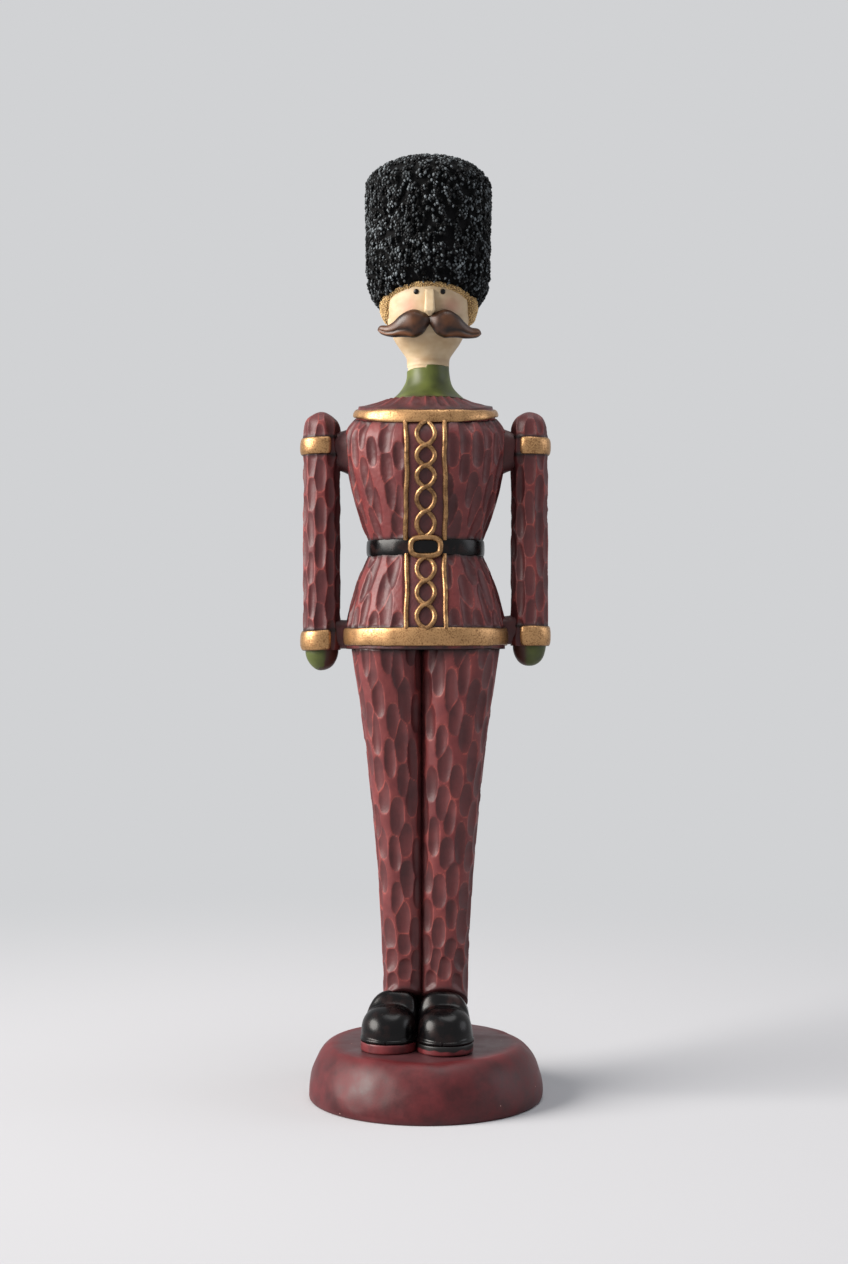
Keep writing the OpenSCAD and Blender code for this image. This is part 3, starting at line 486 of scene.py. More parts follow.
# %% Outline of the coat
skirt_low, skirt_high = box("coat_skirt")
_, body_high = box("coat_body")
yoke_low, yoke_high = box("shoulder_yoke")
hem_low, hem_high = box("hem_band")
belt_low, belt_high = box("belt")
COLLAR_FOOT, COLLAR_R = box("collar")[0][Z], half_size("collar", X)
HIP_Z, WAIST_Z, HEM_TOP_Z = skirt_low[Z], skirt_high[Z], hem_high[Z]
SEAM_Z = (body_high[Z] + yoke_low[Z]) / 2
SEAM_TILT = (body_high[Z] - yoke_low[Z]) / (2 * yoke_high[Y])
CHEST_Z = SEAM_Z - 7.6
COLLAR_LAP = 1.4  # the collar's green runs down over the yoke's top by this much
COLLAR_Z = COLLAR_FOOT - COLLAR_LAP
BAND_TOP_Z = mix(SEAM_Z, COLLAR_FOOT, 0.58)
FLAT = skirt_high[Y] / skirt_high[X]
HEM_HALF, CHEST_HALF, YOKE_HALF = skirt_high[X], body_high[X], yoke_high[X]
WAIST_HALF = belt_high[X] - 2.08  # the coat flares under the belt, and the belt has its thickness
YOKE_TAPER = 1.2
LEDGE_HALF = COLLAR_R + 2
SKIRT_BEND, WAIST_BEND, SHOULDER_BEND, SLOPE_BEND = 1.4, 1.8, 2.2, 0.9


def coat_half(z):
    """Half width of the coat at a height."""
    skirt = mix(WAIST_HALF, HEM_HALF, 1 - (1 - part_way(z, WAIST_Z, HEM_TOP_Z)) ** SKIRT_BEND)
    chest = mix(CHEST_HALF, WAIST_HALF, part_way(z, CHEST_Z, WAIST_Z) ** WAIST_BEND)
    body = mix(chest, YOKE_HALF, part_way(z, CHEST_Z, SEAM_Z) ** SHOULDER_BEND)
    band = YOKE_HALF - YOKE_TAPER * part_way(z, SEAM_Z, BAND_TOP_Z)
    yoke = mix(band, LEDGE_HALF, part_way(z, BAND_TOP_Z, COLLAR_Z) ** SLOPE_BEND)
    return np.where(z <= WAIST_Z, skirt, np.where(z <= SEAM_Z, body, yoke))


def coat_flat(z):
    """Depth of the coat as a share of its width, which turns round under the collar."""
    return mix(FLAT, 1, part_way(z, BAND_TOP_Z, COLLAR_Z))


def coat_tilt(z):
    """Forward tip of the coat's levels: none at the waist, full at the yoke seam."""
    rise = SEAM_Z - WAIST_Z
    tip = SEAM_TILT * ease((z - WAIST_Z - rise / 3) / (rise * 2 / 3))
    return tip * (1 - part_way(z, BAND_TOP_Z, COLLAR_Z))


def coat_girth(z):
    return 2 * math.pi * coat_half(z) * math.sqrt((1 + FLAT ** 2) / 2)


def coat_rings(z, share):
    """Levels of the coat."""
    z = np.asarray(z, float)[:, None]
    half = coat_half(z)
    y = half * coat_flat(z) * np.sin(2 * math.pi * share)
    return xyz(half * np.cos(2 * math.pi * share), y, z + coat_tilt(z) * y)


def coat_front(x, z, stand):
    """Points on the front of the coat, standing out by a little."""
    y = -coat_flat(z) * np.sqrt((coat_half(z) + stand) ** 2 - x ** 2)
    return xyz(x, y, z + coat_tilt(z) * y)


print("coat from", HIP_Z, "to", COLLAR_Z, "waist", round(WAIST_HALF, 2), "chest", round(CHEST_HALF, 2))

# %% [markdown]
# ### Skirt and body
# Both are gouged all round, but the strip under the braid is left plain and the cuts fade out
# beside the trim, where a carver would stop short. A dark wash and painted shade gather along the
# trim, the skirt's lower edge and the cords, and the strip under the braid is painted darker, so
# their share is worked out from the distance to every edge and cord.

# %% Skirt and body
CORD_X, CORD_R = middle("left_upper_cord", X), half_size("left_upper_cord", X)
COAT_CUT_W, COAT_CUT_L, COAT_CUT_DEEP = 5.2, 14.5, 1.25
COAT_STEP, COAT_POINTS = 0.42, 560
LAND_STAND = 0.4  # lands stand a little proud so that the carved outline keeps its mean size
TRIM_SHADE, CORD_SHADE, BRAID_SHADE = 0.8, 1.2, 3.2
around = np.arange(COAT_POINTS) / COAT_POINTS


def coat_piece(name, low, high, seed, edges):
    """A carved stretch of the coat; edges are the heights where trim crosses it."""
    z = np.linspace(low, high, round((high - low) / COAT_STEP) + 1)
    rings = coat_rings(z, around)
    cuts = gouge_cuts(seed, low, high, coat_girth, COAT_CUT_W, lambda h: COAT_CUT_L, COAT_CUT_DEEP)
    depth, land, arris = carve(around, z, coat_girth(z), cuts)
    front, from_middle = rings[..., Y] < 0, np.abs(rings[..., X])
    off_strip = np.where(front, ease((from_middle - CORD_X - CORD_R + 0.3) / 0.8), 1)
    near_trim = sum(bell(z - edge, TRIM_SHADE) for edge in edges)[:, None]
    above_hem = ease((z - hem_low[Z]) / 2)[:, None]
    fade = off_strip * (1 - 0.6 * np.clip(near_trim, 0, 1)) * above_hem
    beside_cord = np.where(front, bell(from_middle - CORD_X, CORD_SHADE), 0)
    in_braid = np.where(front, bell(from_middle, BRAID_SHADE), 0)
    # a dark wash and painted shade along the trim, the skirt's lower edge and beside the cords; the strip
    # under the braid is painted darker
    shade = np.clip(near_trim + 0.75 * beside_cord + 0.6 * in_braid, 0, 1)
    wash_and_shade = 0.85 * shade + 0.12 * lumps(rings, 6, seed)
    rough = 0.06 * lumps(rings, 1.1, seed + 1) + 0.12 * lumps(rings, 5, seed + 2)
    dents = depth * fade + rough - LAND_STAND * off_strip * above_hem
    cast(name, "red_lacquer", [carved(rings, dents, land, wash_and_shade, arris, off_strip)])


coat_piece("coat_skirt", HIP_Z, WAIST_Z, 3, [HEM_TOP_Z, belt_low[Z], HIP_Z])
coat_piece("coat_body", WAIST_Z, SEAM_Z, 8, [belt_high[Z], SEAM_Z])

# %% [markdown]
# ### Yoke
# The yoke's slope has no scoops, only shallow flutes that run up to the collar. A sine wave round
# the slope gives them, and a slower wave keeps their spacing from looking like a machine's.

# %% Yoke
FLUTES, FLUTE_DEEP, FLUTE_SHIFT = 27, 0.5, 0.25
z = np.concatenate([np.linspace(SEAM_Z, BAND_TOP_Z, 4), np.linspace(BAND_TOP_Z, COLLAR_Z, 26)[1:]])
rings = coat_rings(z, around)
shift = FLUTE_SHIFT * np.sin(2 * math.pi * 5 * around)
flute = np.abs(np.sin(math.pi * (FLUTES * around + shift))) * ease((z - BAND_TOP_Z) / 1.2)[:, None]
from_collar = np.hypot(rings[..., X] - middle("collar", X), rings[..., Y]) - COLLAR_R
# a dark wash and painted shade along the band's top edge and round the collar's foot, with seeded tone
wash_and_shade = 0.8 * bell(z - BAND_TOP_Z, 0.9)[:, None] + 0.6 * bell(from_collar, 1.2) + 0.3 * lumps(rings, 3, 5)
cast("shoulder_yoke", "red_lacquer", [{
    "rings": push(rings, -(FLUTE_DEEP * flute + 0.12 * lumps(rings, 3, 4))),
    "land": 1 - ease(flute / 0.6), "wash_and_shade": wash_and_shade, "arris": 0.35 * bell(flute, 0.12)}])

# %% [markdown]
# ## Gold bands and the belt
# The hem and the yoke wear raised gold bands, cast with the coat and painted by hand, so their
# edges wander a little. A bevelled curve could make them, but a section swept round the coat's own
# outline lies on it everywhere. The section is a shallow cushion, and the belt's is flatter.

# %% Hem band, yoke band and belt
SECTION_POINTS, SECTION_POWER, EDGE_STAND, BACK_SINK = 28, 0.55, 0.55, 0.6
BAND_STAND, BAND_SWELL = hem_high[X] - HEM_HALF, 0.45
BELT_STAND, BELT_SWELL = 1.5, 0.1


def cushion(swell):
    """A band's section: how far across each point is, its stand as a share, how deep its back sinks."""
    turn = turns(SECTION_POINTS)
    across, out = spow(np.sin(turn), SECTION_POWER), np.cos(turn)
    stand = (EDGE_STAND + swell * np.sqrt(np.clip(1 - across ** 2, 0, 1))) * np.maximum(out, 0) ** 0.3
    return across, stand, BACK_SINK * (out <= 0)


def gold_dirt_and_edge_shade(across, rings, seed):
    """Dirt in patches, and a dark wash with painted shade along a band's edges, where it meets the coat."""
    return 0.8 * ease((np.abs(across) - 0.86) / 0.14) + 0.25 * lumps(rings, 2.4, seed)


def hoop(name, slot, low, high, stand, swell, wander, seed, tilt=0, pinch=0, level=None):
    """A band round the coat between two heights; pinch is how far it narrows at the sides, and level
    the half width below it where it doesn't follow the coat."""
    angle, mid = turns(240), (low + high) / 2
    across, out, back = (line[:, None] for line in cushion(swell))
    shake = wander * lumps(coat_rings([mid], angle / (2 * math.pi))[0] * [1, 1, 0], 9, seed)
    z = mix(low, high, (across + 1) / 2)
    half = (coat_half(z) if level is None else level) + stand * out - back
    y = half * FLAT * np.sin(angle)
    slim = mix(z, mid, pinch * np.cos(angle) ** 6)
    rings = xyz(half * np.cos(angle), y, slim + tilt * y + shake * across)
    cast(name, slot, [{"rings": uneven(rings, 0.12, 3.5, seed + 2), "rub": 1 - np.abs(across),
                       "wash_and_shade": gold_dirt_and_edge_shade(across, rings, seed + 1)}], loop=True)


hoop("hem_band", "antique_gold", hem_low[Z], hem_high[Z], BAND_STAND, BAND_SWELL, 0.25, 21)
hoop("yoke_band", "antique_gold", SEAM_Z + 0.2, BAND_TOP_Z - 0.4, BAND_STAND, BAND_SWELL, 0.4, 24,
     SEAM_TILT, pinch=0.45)
hoop("belt", "black_gloss", belt_low[Z], belt_high[Z], BELT_STAND, BELT_SWELL, 0.12, 27,
     level=belt_high[X] - BELT_STAND * (EDGE_STAND + BELT_SWELL))

# %% [markdown]
# ## Braid, cords and buckle
# The front carries a braid of two strands that cross between round loops, a straight cord at
# each side and a buckle frame. All are round beads of gold laid along a path on the coat, so one
# node tree makes them: it turns a line of points into a curve and sweeps a circle along it, a
# little thicker and thinner from place to place.

# %% Helpers for node trees of shapes
def new_tree(name, inputs, output):
    """An empty tree for shapes with named inputs; gives the tree and its inputs' sockets."""
    tree = bpy.data.node_groups.new(name, "GeometryNodeTree")
    for socket, kind in inputs.items():
        tree.interface.new_socket(socket, in_out="INPUT", socket_type="NodeSocket" + kind)
    tree.interface.new_socket(output, in_out="OUTPUT", socket_type="NodeSocketGeometry")
    return tree, add(tree, "NodeGroupInput", out=None).outputs


def end_tree(tree, shape, paint, output):
    """The last steps of a tree: smooth shading, real faces, the finish and the way out."""
    for kind, more in (("GeometryNodeSetShadeSmooth", {}), ("GeometryNodeRealizeInstances", {}),
                       ("GeometryNodeSetMaterial", {"Material": paint})):
        shape = add(tree, kind, {"Geometry": shape, **more})
    add(tree, "NodeGroupOutput", {output: shape}, out=None)
    print("tree", tree.name, "with", len(tree.nodes), "nodes")


def grown(name, form, tree, inputs):
    """What a tree makes of a form, kept as a plain mesh in the form's place."""
    modifier = form.modifiers.new(tree.name, "NODES")
    modifier.node_group = tree
    for item in tree.interface.items_tree:
        if item.name in inputs:
            modifier[item.identifier] = inputs[item.name]
    made = bpy.data.meshes.new_from_object(form.evaluated_get(bpy.context.evaluated_depsgraph_get()))
    bpy.data.objects.remove(form)
    made.name = name
    return put(name, made)


# %% A bead along a path
bead, given = new_tree("bead_along_a_path", {"Path": "Geometry", "Radius": "Float", "Unevenness": "Float",
                                             "Sides": "Int"}, "Bead")
path = add(bead, "GeometryNodeMeshToCurve", {"Mesh": given["Path"]})
wave = add(bead, "ShaderNodeTexNoise", {"Scale": 1 / (2.6 * MM), "Detail": 1})
wave = add(bead, "ShaderNodeMath", {0: wave, 1: 0.5}, operation="SUBTRACT")
swell = add(bead, "ShaderNodeMath", {0: wave, 1: given["Unevenness"], 2: 1.0}, operation="MULTIPLY_ADD")
section = add(bead, "GeometryNodeCurvePrimitiveCircle",
              {"Resolution": given["Sides"], "Radius": given["Radius"]})
swept = add(bead, "GeometryNodeCurveToMesh",
            {"Curve": path, "Profile Curve": section, "Scale": swell, "Fill Caps": True})
end_tree(bead, swept, paints["antique_gold"], "Bead")


def lay_bead(name, paths, radius, closed=False):
    """A gold bead along lines of points on the coat."""
    points, edges = [], []
    for line in paths:
        first = len(points)
        points += (line * MM).tolist()
        edges += [(first + i, first + i + 1) for i in range(len(line) - 1)]
        if closed:
            edges.append((len(points) - 1, first))
    mesh = bpy.data.meshes.new(name + "_path")
    mesh.from_pydata(points, edges, [])
    piece = grown(name, put(name + "_path", mesh), bead,
                  {"Radius": radius * MM, "Unevenness": 0.35, "Sides": 14})
    place = np.empty(len(piece.data.vertices) * 3)
    piece.data.vertices.foreach_get("co", place)
    dirt = 0.36 + 0.4 * lumps(place.reshape(-1, 3) / MM, 1.3, 5)
    keep_numbers(piece.data, "wash_and_shade", np.clip(dirt, 0, 1))
    stand_in(piece, "antique_gold", name)
    lengths = [np.linalg.norm(np.diff(line, axis=0), axis=1).sum() for line in paths]
    print(name, "bead length in mm:", *(round(length, 1) for length in lengths))


# %% [markdown]
# ### Braid and cords
# The two strands of the braid swing from side to side and pass over each other by turns, like a
# sine wave and its mirror image. A power under 1 rounds the loops out. The cords run straight,
# but drift a little, as a line does that is painted freehand.

# %% Braid and cords
SIDES = {"left": 1, "right": -1}  # the soldier's own left is on the right of the picture
buckle_low, buckle_high = box("buckle")
STRAND_R, LOOP_H, LOOP_POWER, LOOP_POINTS = 0.92, 8.9, 0.62, 26
STRAND_STAND, STRAND_LIFT, CORD_STAND, CORD_ROUND = 0.25, 0.3, 0.15, 0.95
BRAID_HALF = half_size("upper_braid", X) - STRAND_R


def braid_paths(low, high):
    """Two strands that swing from side to side, one passing over the other by turns."""
    loops = max(1, round((high - low) / LOOP_H))
    t = np.linspace(0, loops, loops * LOOP_POINTS + 1)
    swing = BRAID_HALF * np.abs(np.sin(math.pi * t)) ** LOOP_POWER * np.where(np.floor(t) % 2 == 0, 1, -1)
    over = STRAND_LIFT * np.cos(math.pi * t)
    z = mix(low, high, t / loops)
    return [coat_front(s * swing, z, STRAND_STAND + s * over) for s in (1, -1)]


lay_bead("upper_braid", braid_paths(buckle_high[Z] - 0.6, SEAM_Z + 0.3), STRAND_R)
lay_bead("lower_braid", braid_paths(HEM_TOP_Z - 0.3, buckle_low[Z] + 0.6), STRAND_R)
for place, low, high in (("upper", belt_high[Z] - 0.3, SEAM_Z + 0.4),
                         ("lower", HEM_TOP_Z - 0.4, belt_low[Z] + 0.3)):
    for word, side in SIDES.items():
        z = np.linspace(low, high, 60)
        x = side * CORD_X + 0.25 * np.sin(z / 7 + side) + 0.12 * np.sin(z / 2.3)
        lay_bead(f"{word}_{place}_cord", [coat_front(x, z, CORD_STAND)], CORD_ROUND * CORD_R)

# %% [markdown]
# ### Buckle
# The buckle is a plain frame with rounded corners, cast on the belt. It is the same bead, laid
# along a boxy ring that bends with the belt, which is less work than a frame cut out of a plate.

# %% Buckle
BAR_R, BUCKLE_STAND = 1.05, 0.5
turn = turns(72)
x = (half_size("buckle", X) - BAR_R) * spow(np.cos(turn), 0.6)
z = WAIST_Z + (half_size("buckle", Z) - BAR_R) * spow(np.sin(turn), 0.72)
y = -FLAT * np.sqrt((belt_high[X] + BUCKLE_STAND) ** 2 - x ** 2)
lay_bead("buckle", [xyz(x, y, z)], BAR_R, closed=True)

# %% [markdown]
# ## Legs
# Two legs are cast side by side with a groove between them. Each tapers from a broad hip to a
# slim ankle, so the rows of cuts hold fewer and shorter scoops further down. The hem slopes down
# to the heel and arches over the shoe's throat. The outline is a rounded oblong; it is spaced
# evenly along its length so the cuts keep a steady grain, which plain angles would not give.

# %% Legs
leg_low, (HIP_HALF, HIP_DEEP, _) = box("left_leg")
HEM_SLOPE, HEM_RUN, HEM_ARCH = 0.55, 30, 1.5
ANKLE_HALF, ANKLE_DEEP = 15.7, 9.5
ANKLE_Z = leg_low[Z] + HEM_SLOPE * ANKLE_DEEP
LEG_POWER, LEG_TAPER, LEG_POINTS, LEG_LEVELS, OUTLINE_POINTS = 0.8, 1.75, 330, 270, 720
LEG_CUT_W, LEG_CUT_LOW, LEG_CUT_HIGH, LEG_CUT_DEEP = 5.3, 12.5, 16.5, 1.1
# the legs meet on a flat plane, a little to the soldier's right; each round form sinks past it
GROOVE_X, GROOVE_W, LEG_SINK, LEG_APART = -1.5, 1.5, 1.3, 0.005


def even(outline, count):
    """A closed outline spaced evenly along its length, and that length."""
    closed = np.concatenate([outline, outline[:1]])
    length = np.concatenate([[0], np.cumsum(np.linalg.norm(np.diff(closed, axis=0), axis=1))])
    at = np.linspace(0, length[-1], count, endpoint=False)
    return np.stack([np.interp(at, length, line) for line in closed.T], -1), length[-1]


def leg_rings(z, side):
    """Levels of a leg and their girths."""
    turn = turns(OUTLINE_POINTS)
    inner = GROOVE_X + side * LEG_APART - side * LEG_SINK
    rings, girth = [], []
    for level, g in zip(z, part_way(z, ANKLE_Z, HIP_Z) ** LEG_TAPER):
        outer, deep = side * mix(ANKLE_HALF, HIP_HALF, g), mix(ANKLE_DEEP, HIP_DEEP, g)
        half = abs(outer - inner) / 2
        x = half * spow(np.cos(turn), LEG_POWER)
        x = np.maximum(x, LEG_SINK - half) if side > 0 else np.minimum(x, half - LEG_SINK)
        flat, length = even(np.stack([x, deep * spow(np.sin(turn), LEG_POWER)], -1), LEG_POINTS)
        x, y = flat.T
        low = 1 - ease((level - ANKLE_Z) / HEM_RUN)
        arch = HEM_ARCH * (1 - (x / half) ** 2) * np.clip(-y / deep, 0, 1)
        rings.append(xyz((inner + outer) / 2 + x, y, level + low * (arch - HEM_SLOPE * y)))
        girth.append(length)
    return np.array(rings), np.array(girth)


def leg_piece(name, side, seed):
    z = np.linspace(ANKLE_Z, HIP_Z, LEG_LEVELS)
    rings, girth = leg_rings(z, side)
    cuts = gouge_cuts(seed, ANKLE_Z + 2, HIP_Z, lambda h: np.interp(h, z, girth), LEG_CUT_W,
                      lambda h: mix(LEG_CUT_LOW, LEG_CUT_HIGH, part_way(h, ANKLE_Z, HIP_Z)), LEG_CUT_DEEP)
    depth, land, arris = carve(np.arange(LEG_POINTS) / LEG_POINTS, z, girth, cuts)
    groove = bell(np.abs(rings[..., X] - GROOVE_X), GROOVE_W)
    fade = ease((z - ANKLE_Z) / 3)[:, None] * (1 - 0.8 * groove)
    # painted shade under the skirt at the hip and under the trousers' hem at the ankle
    ends = 0.85 * bell(z - HIP_Z, 1.4) + 0.4 * bell(z - ANKLE_Z, 0.8)
    # the legs are painted darker towards the bottom
    darker_low = 0.14 * (1 - ease((z - ANKLE_Z) / 70))
    # painted shade in the groove between the legs, with seeded tone
    wash_and_shade = 0.3 * groove + (ends + darker_low)[:, None] + 0.12 * lumps(rings, 7, seed)
    dents = (depth * fade + 0.15 * lumps(rings, 6, seed + 1) - LAND_STAND) * (1 - groove)
    cast(name, "red_lacquer", [carved(rings, dents, land, wash_and_shade, arris, fade)])


leg_piece("left_leg", 1, 31)
leg_piece("right_leg", -1, 46)

# %% [markdown]
# ## Arms
# An arm is one casting: a carved rod with a domed shoulder, a web that joins the shoulder to the
# coat and a second web from the cuff to the hem. Rod and dome are one stack of circles, and the
# cuts are laid along the length of its profile so that they run up over the dome. The webs are
# short waisted ties, which are simpler than one skin that branches.

# %% Carved rod of an arm
ARM_CUT_W, ARM_CUT_L, ARM_CUT_DEEP = 4.1, 13.5, 1.05
ARM_POINTS, ARM_LEVELS, DOME_LEVELS, ARM_POWER = 200, 190, 28, 0.9


def arm_rod(word, side, seed):
    """An arm's rod as a part, with its axis, radius and foot."""
    low, high = box(word + "_arm")
    cuff_low, cuff_high = box(word + "_cuff")
    band_low, band_high = box(word + "_armband")
    axis = middle(word + "_hand", X)
    radius = max(abs(low[X]), abs(high[X])) - abs(axis)
    foot, neck = cuff_low[Z], high[Z] - radius
    straight = np.linspace(foot, neck, ARM_LEVELS)
    dome = np.linspace(0, math.pi / 2, DOME_LEVELS)[1:-1]
    z = np.concatenate([straight, neck + radius * np.sin(dome)])
    wide = np.concatenate([np.full(ARM_LEVELS, radius), radius * np.cos(dome)])
    along = np.concatenate([straight, neck + radius * dome])
    angle, r = turns(ARM_POINTS), wide[:, None]
    rings = xyz(axis + r * spow(np.cos(angle), ARM_POWER), r * spow(np.sin(angle), ARM_POWER), z[:, None])
    cuts = gouge_cuts(seed, foot + 4, along[-1], lambda h: 2 * math.pi * radius, ARM_CUT_W,
                      lambda h: ARM_CUT_L, ARM_CUT_DEEP)
    girth = 2 * math.pi * np.maximum(wide, radius * 0.55)
    depth, land, arris = carve(np.arange(ARM_POINTS) / ARM_POINTS, along, girth, cuts)
    near = sum(bell(z - edge[Z], TRIM_SHADE) for edge in (band_low, band_high, cuff_high))[:, None]
    inner = ease(-side * (rings[..., X] - axis) / radius - 0.1)
    domed = ease((z - neck) / radius)[:, None]
    fade = (1 - 0.6 * np.clip(near, 0, 1)) * (1 - 0.6 * domed) * ease((along[-1] - along) / 3)[:, None]
    # a dark wash and painted shade along the band and cuff edges, and painted shade on the inner side, which
    # faces the coat
    wash_and_shade = 0.85 * near + 0.5 * inner + 0.12 * lumps(rings, 6, seed)
    dents = depth * fade + 0.1 * lumps(rings, 6, seed + 1) - LAND_STAND
    return carved(rings, dents, land, wash_and_shade, arris, fade), axis, radius, foot


# %% Arms with their webs
SHOULDER_WEB, CUFF_WEB = (3.4, 5.7, 0.35, 0.7), (4, 5.2, 0.35, 0.05)


def web(start, end, half_y, half_z, flare_start, flare_end):
    """A waisted tie between two castings, from start to end along X."""
    t = np.linspace(0, 1, 24)[:, None]
    angle = turns(40)
    wide = 1 + flare_start * (1 - t) ** 2 + flare_end * t ** 2
    centre = mix(np.array(start), np.array(end), t)[:, None]
    ring = xyz(0, half_y * wide * spow(np.cos(angle), 0.8), half_z * wide * spow(np.sin(angle), 0.8))
    # a web is painted darker all over: painted shade and a dark wash between arm and coat
    return {"rings": uneven(centre + ring, 0.2, 3, 12), "land": 0.5, "wash_and_shade": 0.52, "arris": 0}


for word, seed in (("left", 55), ("right", 61)):
    side = SIDES[word]
    rod, axis, radius, foot = arm_rod(word, side, seed)
    pin_z = middle(word + "_shoulder_dowel", Z)
    shoulder = web((axis, 0, pin_z), (side * (CHEST_HALF - 3), 0, pin_z - 0.4), *SHOULDER_WEB)
    wrist = web((axis - side * radius * 0.2, 0, foot + 6.6), (side * (HEM_HALF - 1.5), 0, foot + 5.6),
                *CUFF_WEB)
    cast(word + "_arm", "red_lacquer", [rod, shoulder, wrist])

# %% [markdown]
# ## Armbands and cuffs
# Gold bands wrap the outer side of each arm and stop, rounded off, where the webs begin. A full
# ring would cut through the webs. So the hem band's cushion section is swept over part of a
# circle and drawn in at its ends.

# %% Armbands and cuffs
BAND_REACH, BAND_LEVELS, END_SHARE, END_SLIM = math.radians(123), 90, 0.9, 0.55


def arm_band(name, seed, sag):
    """A band round an arm; sag is how far it hangs lower on the outer side."""
    low, high = box(name)
    axis = middle(name.split("_")[0] + "_hand", X)
    outer = max(abs(low[X]), abs(high[X])) - abs(axis)
    across, stand, back = cushion(BAND_SWELL)
    t = np.linspace(-1, 1, BAND_LEVELS)[:, None]
    close = np.sqrt(np.clip(1 - part_way(np.abs(t), END_SHARE, 1) ** 2, 0.02, 1))
    r = outer - BAND_STAND + BAND_STAND * close * stand - back
    angle = t * BAND_REACH
    z = middle(name, Z) + half_size(name, Z) * mix(END_SLIM, 1, close) * across - sag * np.cos(angle) * 0.5
    rings = uneven(xyz(axis + np.sign(axis) * r * np.cos(angle), r * np.sin(angle), z), 0.14, 3.5, seed)
    rings[..., X] = np.clip(rings[..., X], -abs(axis) - outer, abs(axis) + outer)
    cast(name, "antique_gold", [{"rings": rings, "wash_and_shade": gold_dirt_and_edge_shade(across, rings, seed + 1)}])


arm_band("left_armband", 71, 0.2)
arm_band("right_armband", 74, 0.3)
arm_band("left_cuff", 77, 0.3)
arm_band("right_cuff", 80, 0.8)

# %% [markdown]
# ## Hands
# The hands are plain mittens below the cuffs: half an egg, painted olive green, with smears of
# the red from the arm on their inner side. A lathe form with a little unevenness is enough.

# %% Hands
HAND_FLAT, HAND_POWER, HAND_TUCK = 0.94, 0.9, 1.5
for word in SIDES:
    name = word + "_hand"
    low, foot = box(name)[0][Z], box(word + "_cuff")[0][Z]
    axis, radius = middle(name, X), half_size(name, X)
    dip = np.linspace(math.pi / 2, 0, 34)[1:]
    wide = radius * np.cos(dip) ** HAND_POWER
    z = np.append(foot - (foot - low) * np.sin(dip), foot + HAND_TUCK)
    rings = lathe(axis, np.append(wide, wide[-1])[:, None], z[:, None], turns(72), HAND_FLAT)
    rings = uneven(rings, 0.2, 4, 15)
    inner = -np.sign(axis) * (rings[..., X] - axis) / radius
    smear = lumps(rings * [1, 1, 0.35], 2.2, 18)
    wash_and_shade = ease((inner - 0.1) / 0.3) + ease((smear - 0.2) / 0.25) * 0.75
    rub = 0.15 * ease(0.4 + lumps(rings, 5, 19))
    cast(name, "olive_green", [{"rings": rings, "wash_and_shade": wash_and_shade, "rub": rub}])

# %% [markdown]
# ## Shoes and soles
# Round-toed shoes stand close together, both turned a little to the soldier's right. A shoe is
# a row of arches along its length: low and steep at the toe, a crease behind the toe cap, then a
# throat that climbs to the trousers' hem. The soles are red slabs under them with a welt line of
# black paint. A stack of arches keeps the shoe's plan exact, which a sculpted blob would not.

# %% Plan of a shoe
TOE_TURN, SHOE_X = math.radians(-7), -1.4
SHOE_W, HEEL_W, TOE_REACH, HEEL_REACH = 20.6, 16.0, 25.0, 12.0
SHOE_GAP, WELT_H, WELT_OUT, TOE_H = 0.4, 1.4, 0.3, 12.6
TOE_Y, HEEL_Y = SHOE_W / 2 - TOE_REACH, HEEL_REACH - HEEL_W / 2


def toed(points):
    """Points of a shoe turned about the figure's axis."""
    c, s = math.cos(TOE_TURN), math.sin(TOE_TURN)
    x, y, z = np.moveaxis(points, -1, 0)
    return xyz(SHOE_X + c * x - s * y, s * x + c * y, z)


def shoe_waist(y):
    """Half width between the round of the toe and the round of the heel."""
    return mix(SHOE_W, HEEL_W, part_way(y, TOE_Y, HEEL_Y)) / 2


def shoe_half(y):
    """Half width anywhere along the shoe."""
    toe = np.sqrt(np.maximum(0.02, (SHOE_W / 2) ** 2 - np.minimum(0, y - TOE_Y) ** 2))
    heel = np.sqrt(np.maximum(0.02, (HEEL_W / 2) ** 2 - np.maximum(0, y - HEEL_Y) ** 2))
    return np.where(y < TOE_Y, toe, np.where(y > HEEL_Y, heel, shoe_waist(y)))


def shoe_mid(y):
    """Distance of the shoe's middle from the line between the shoes."""
    return SHOE_GAP / 2 + shoe_waist(y)


print("shoe from", -TOE_REACH, "to", HEEL_REACH, "mm, ankle at", round(ANKLE_Z, 2))

# %% Shoes
CAP_POWER, THROAT_DROP, HEM_CLEAR = 0.42, 0.9, 0.2
CREASE_DEEP, CREASE_BACK, CREASE_W = 0.55, 1.8, 1.1


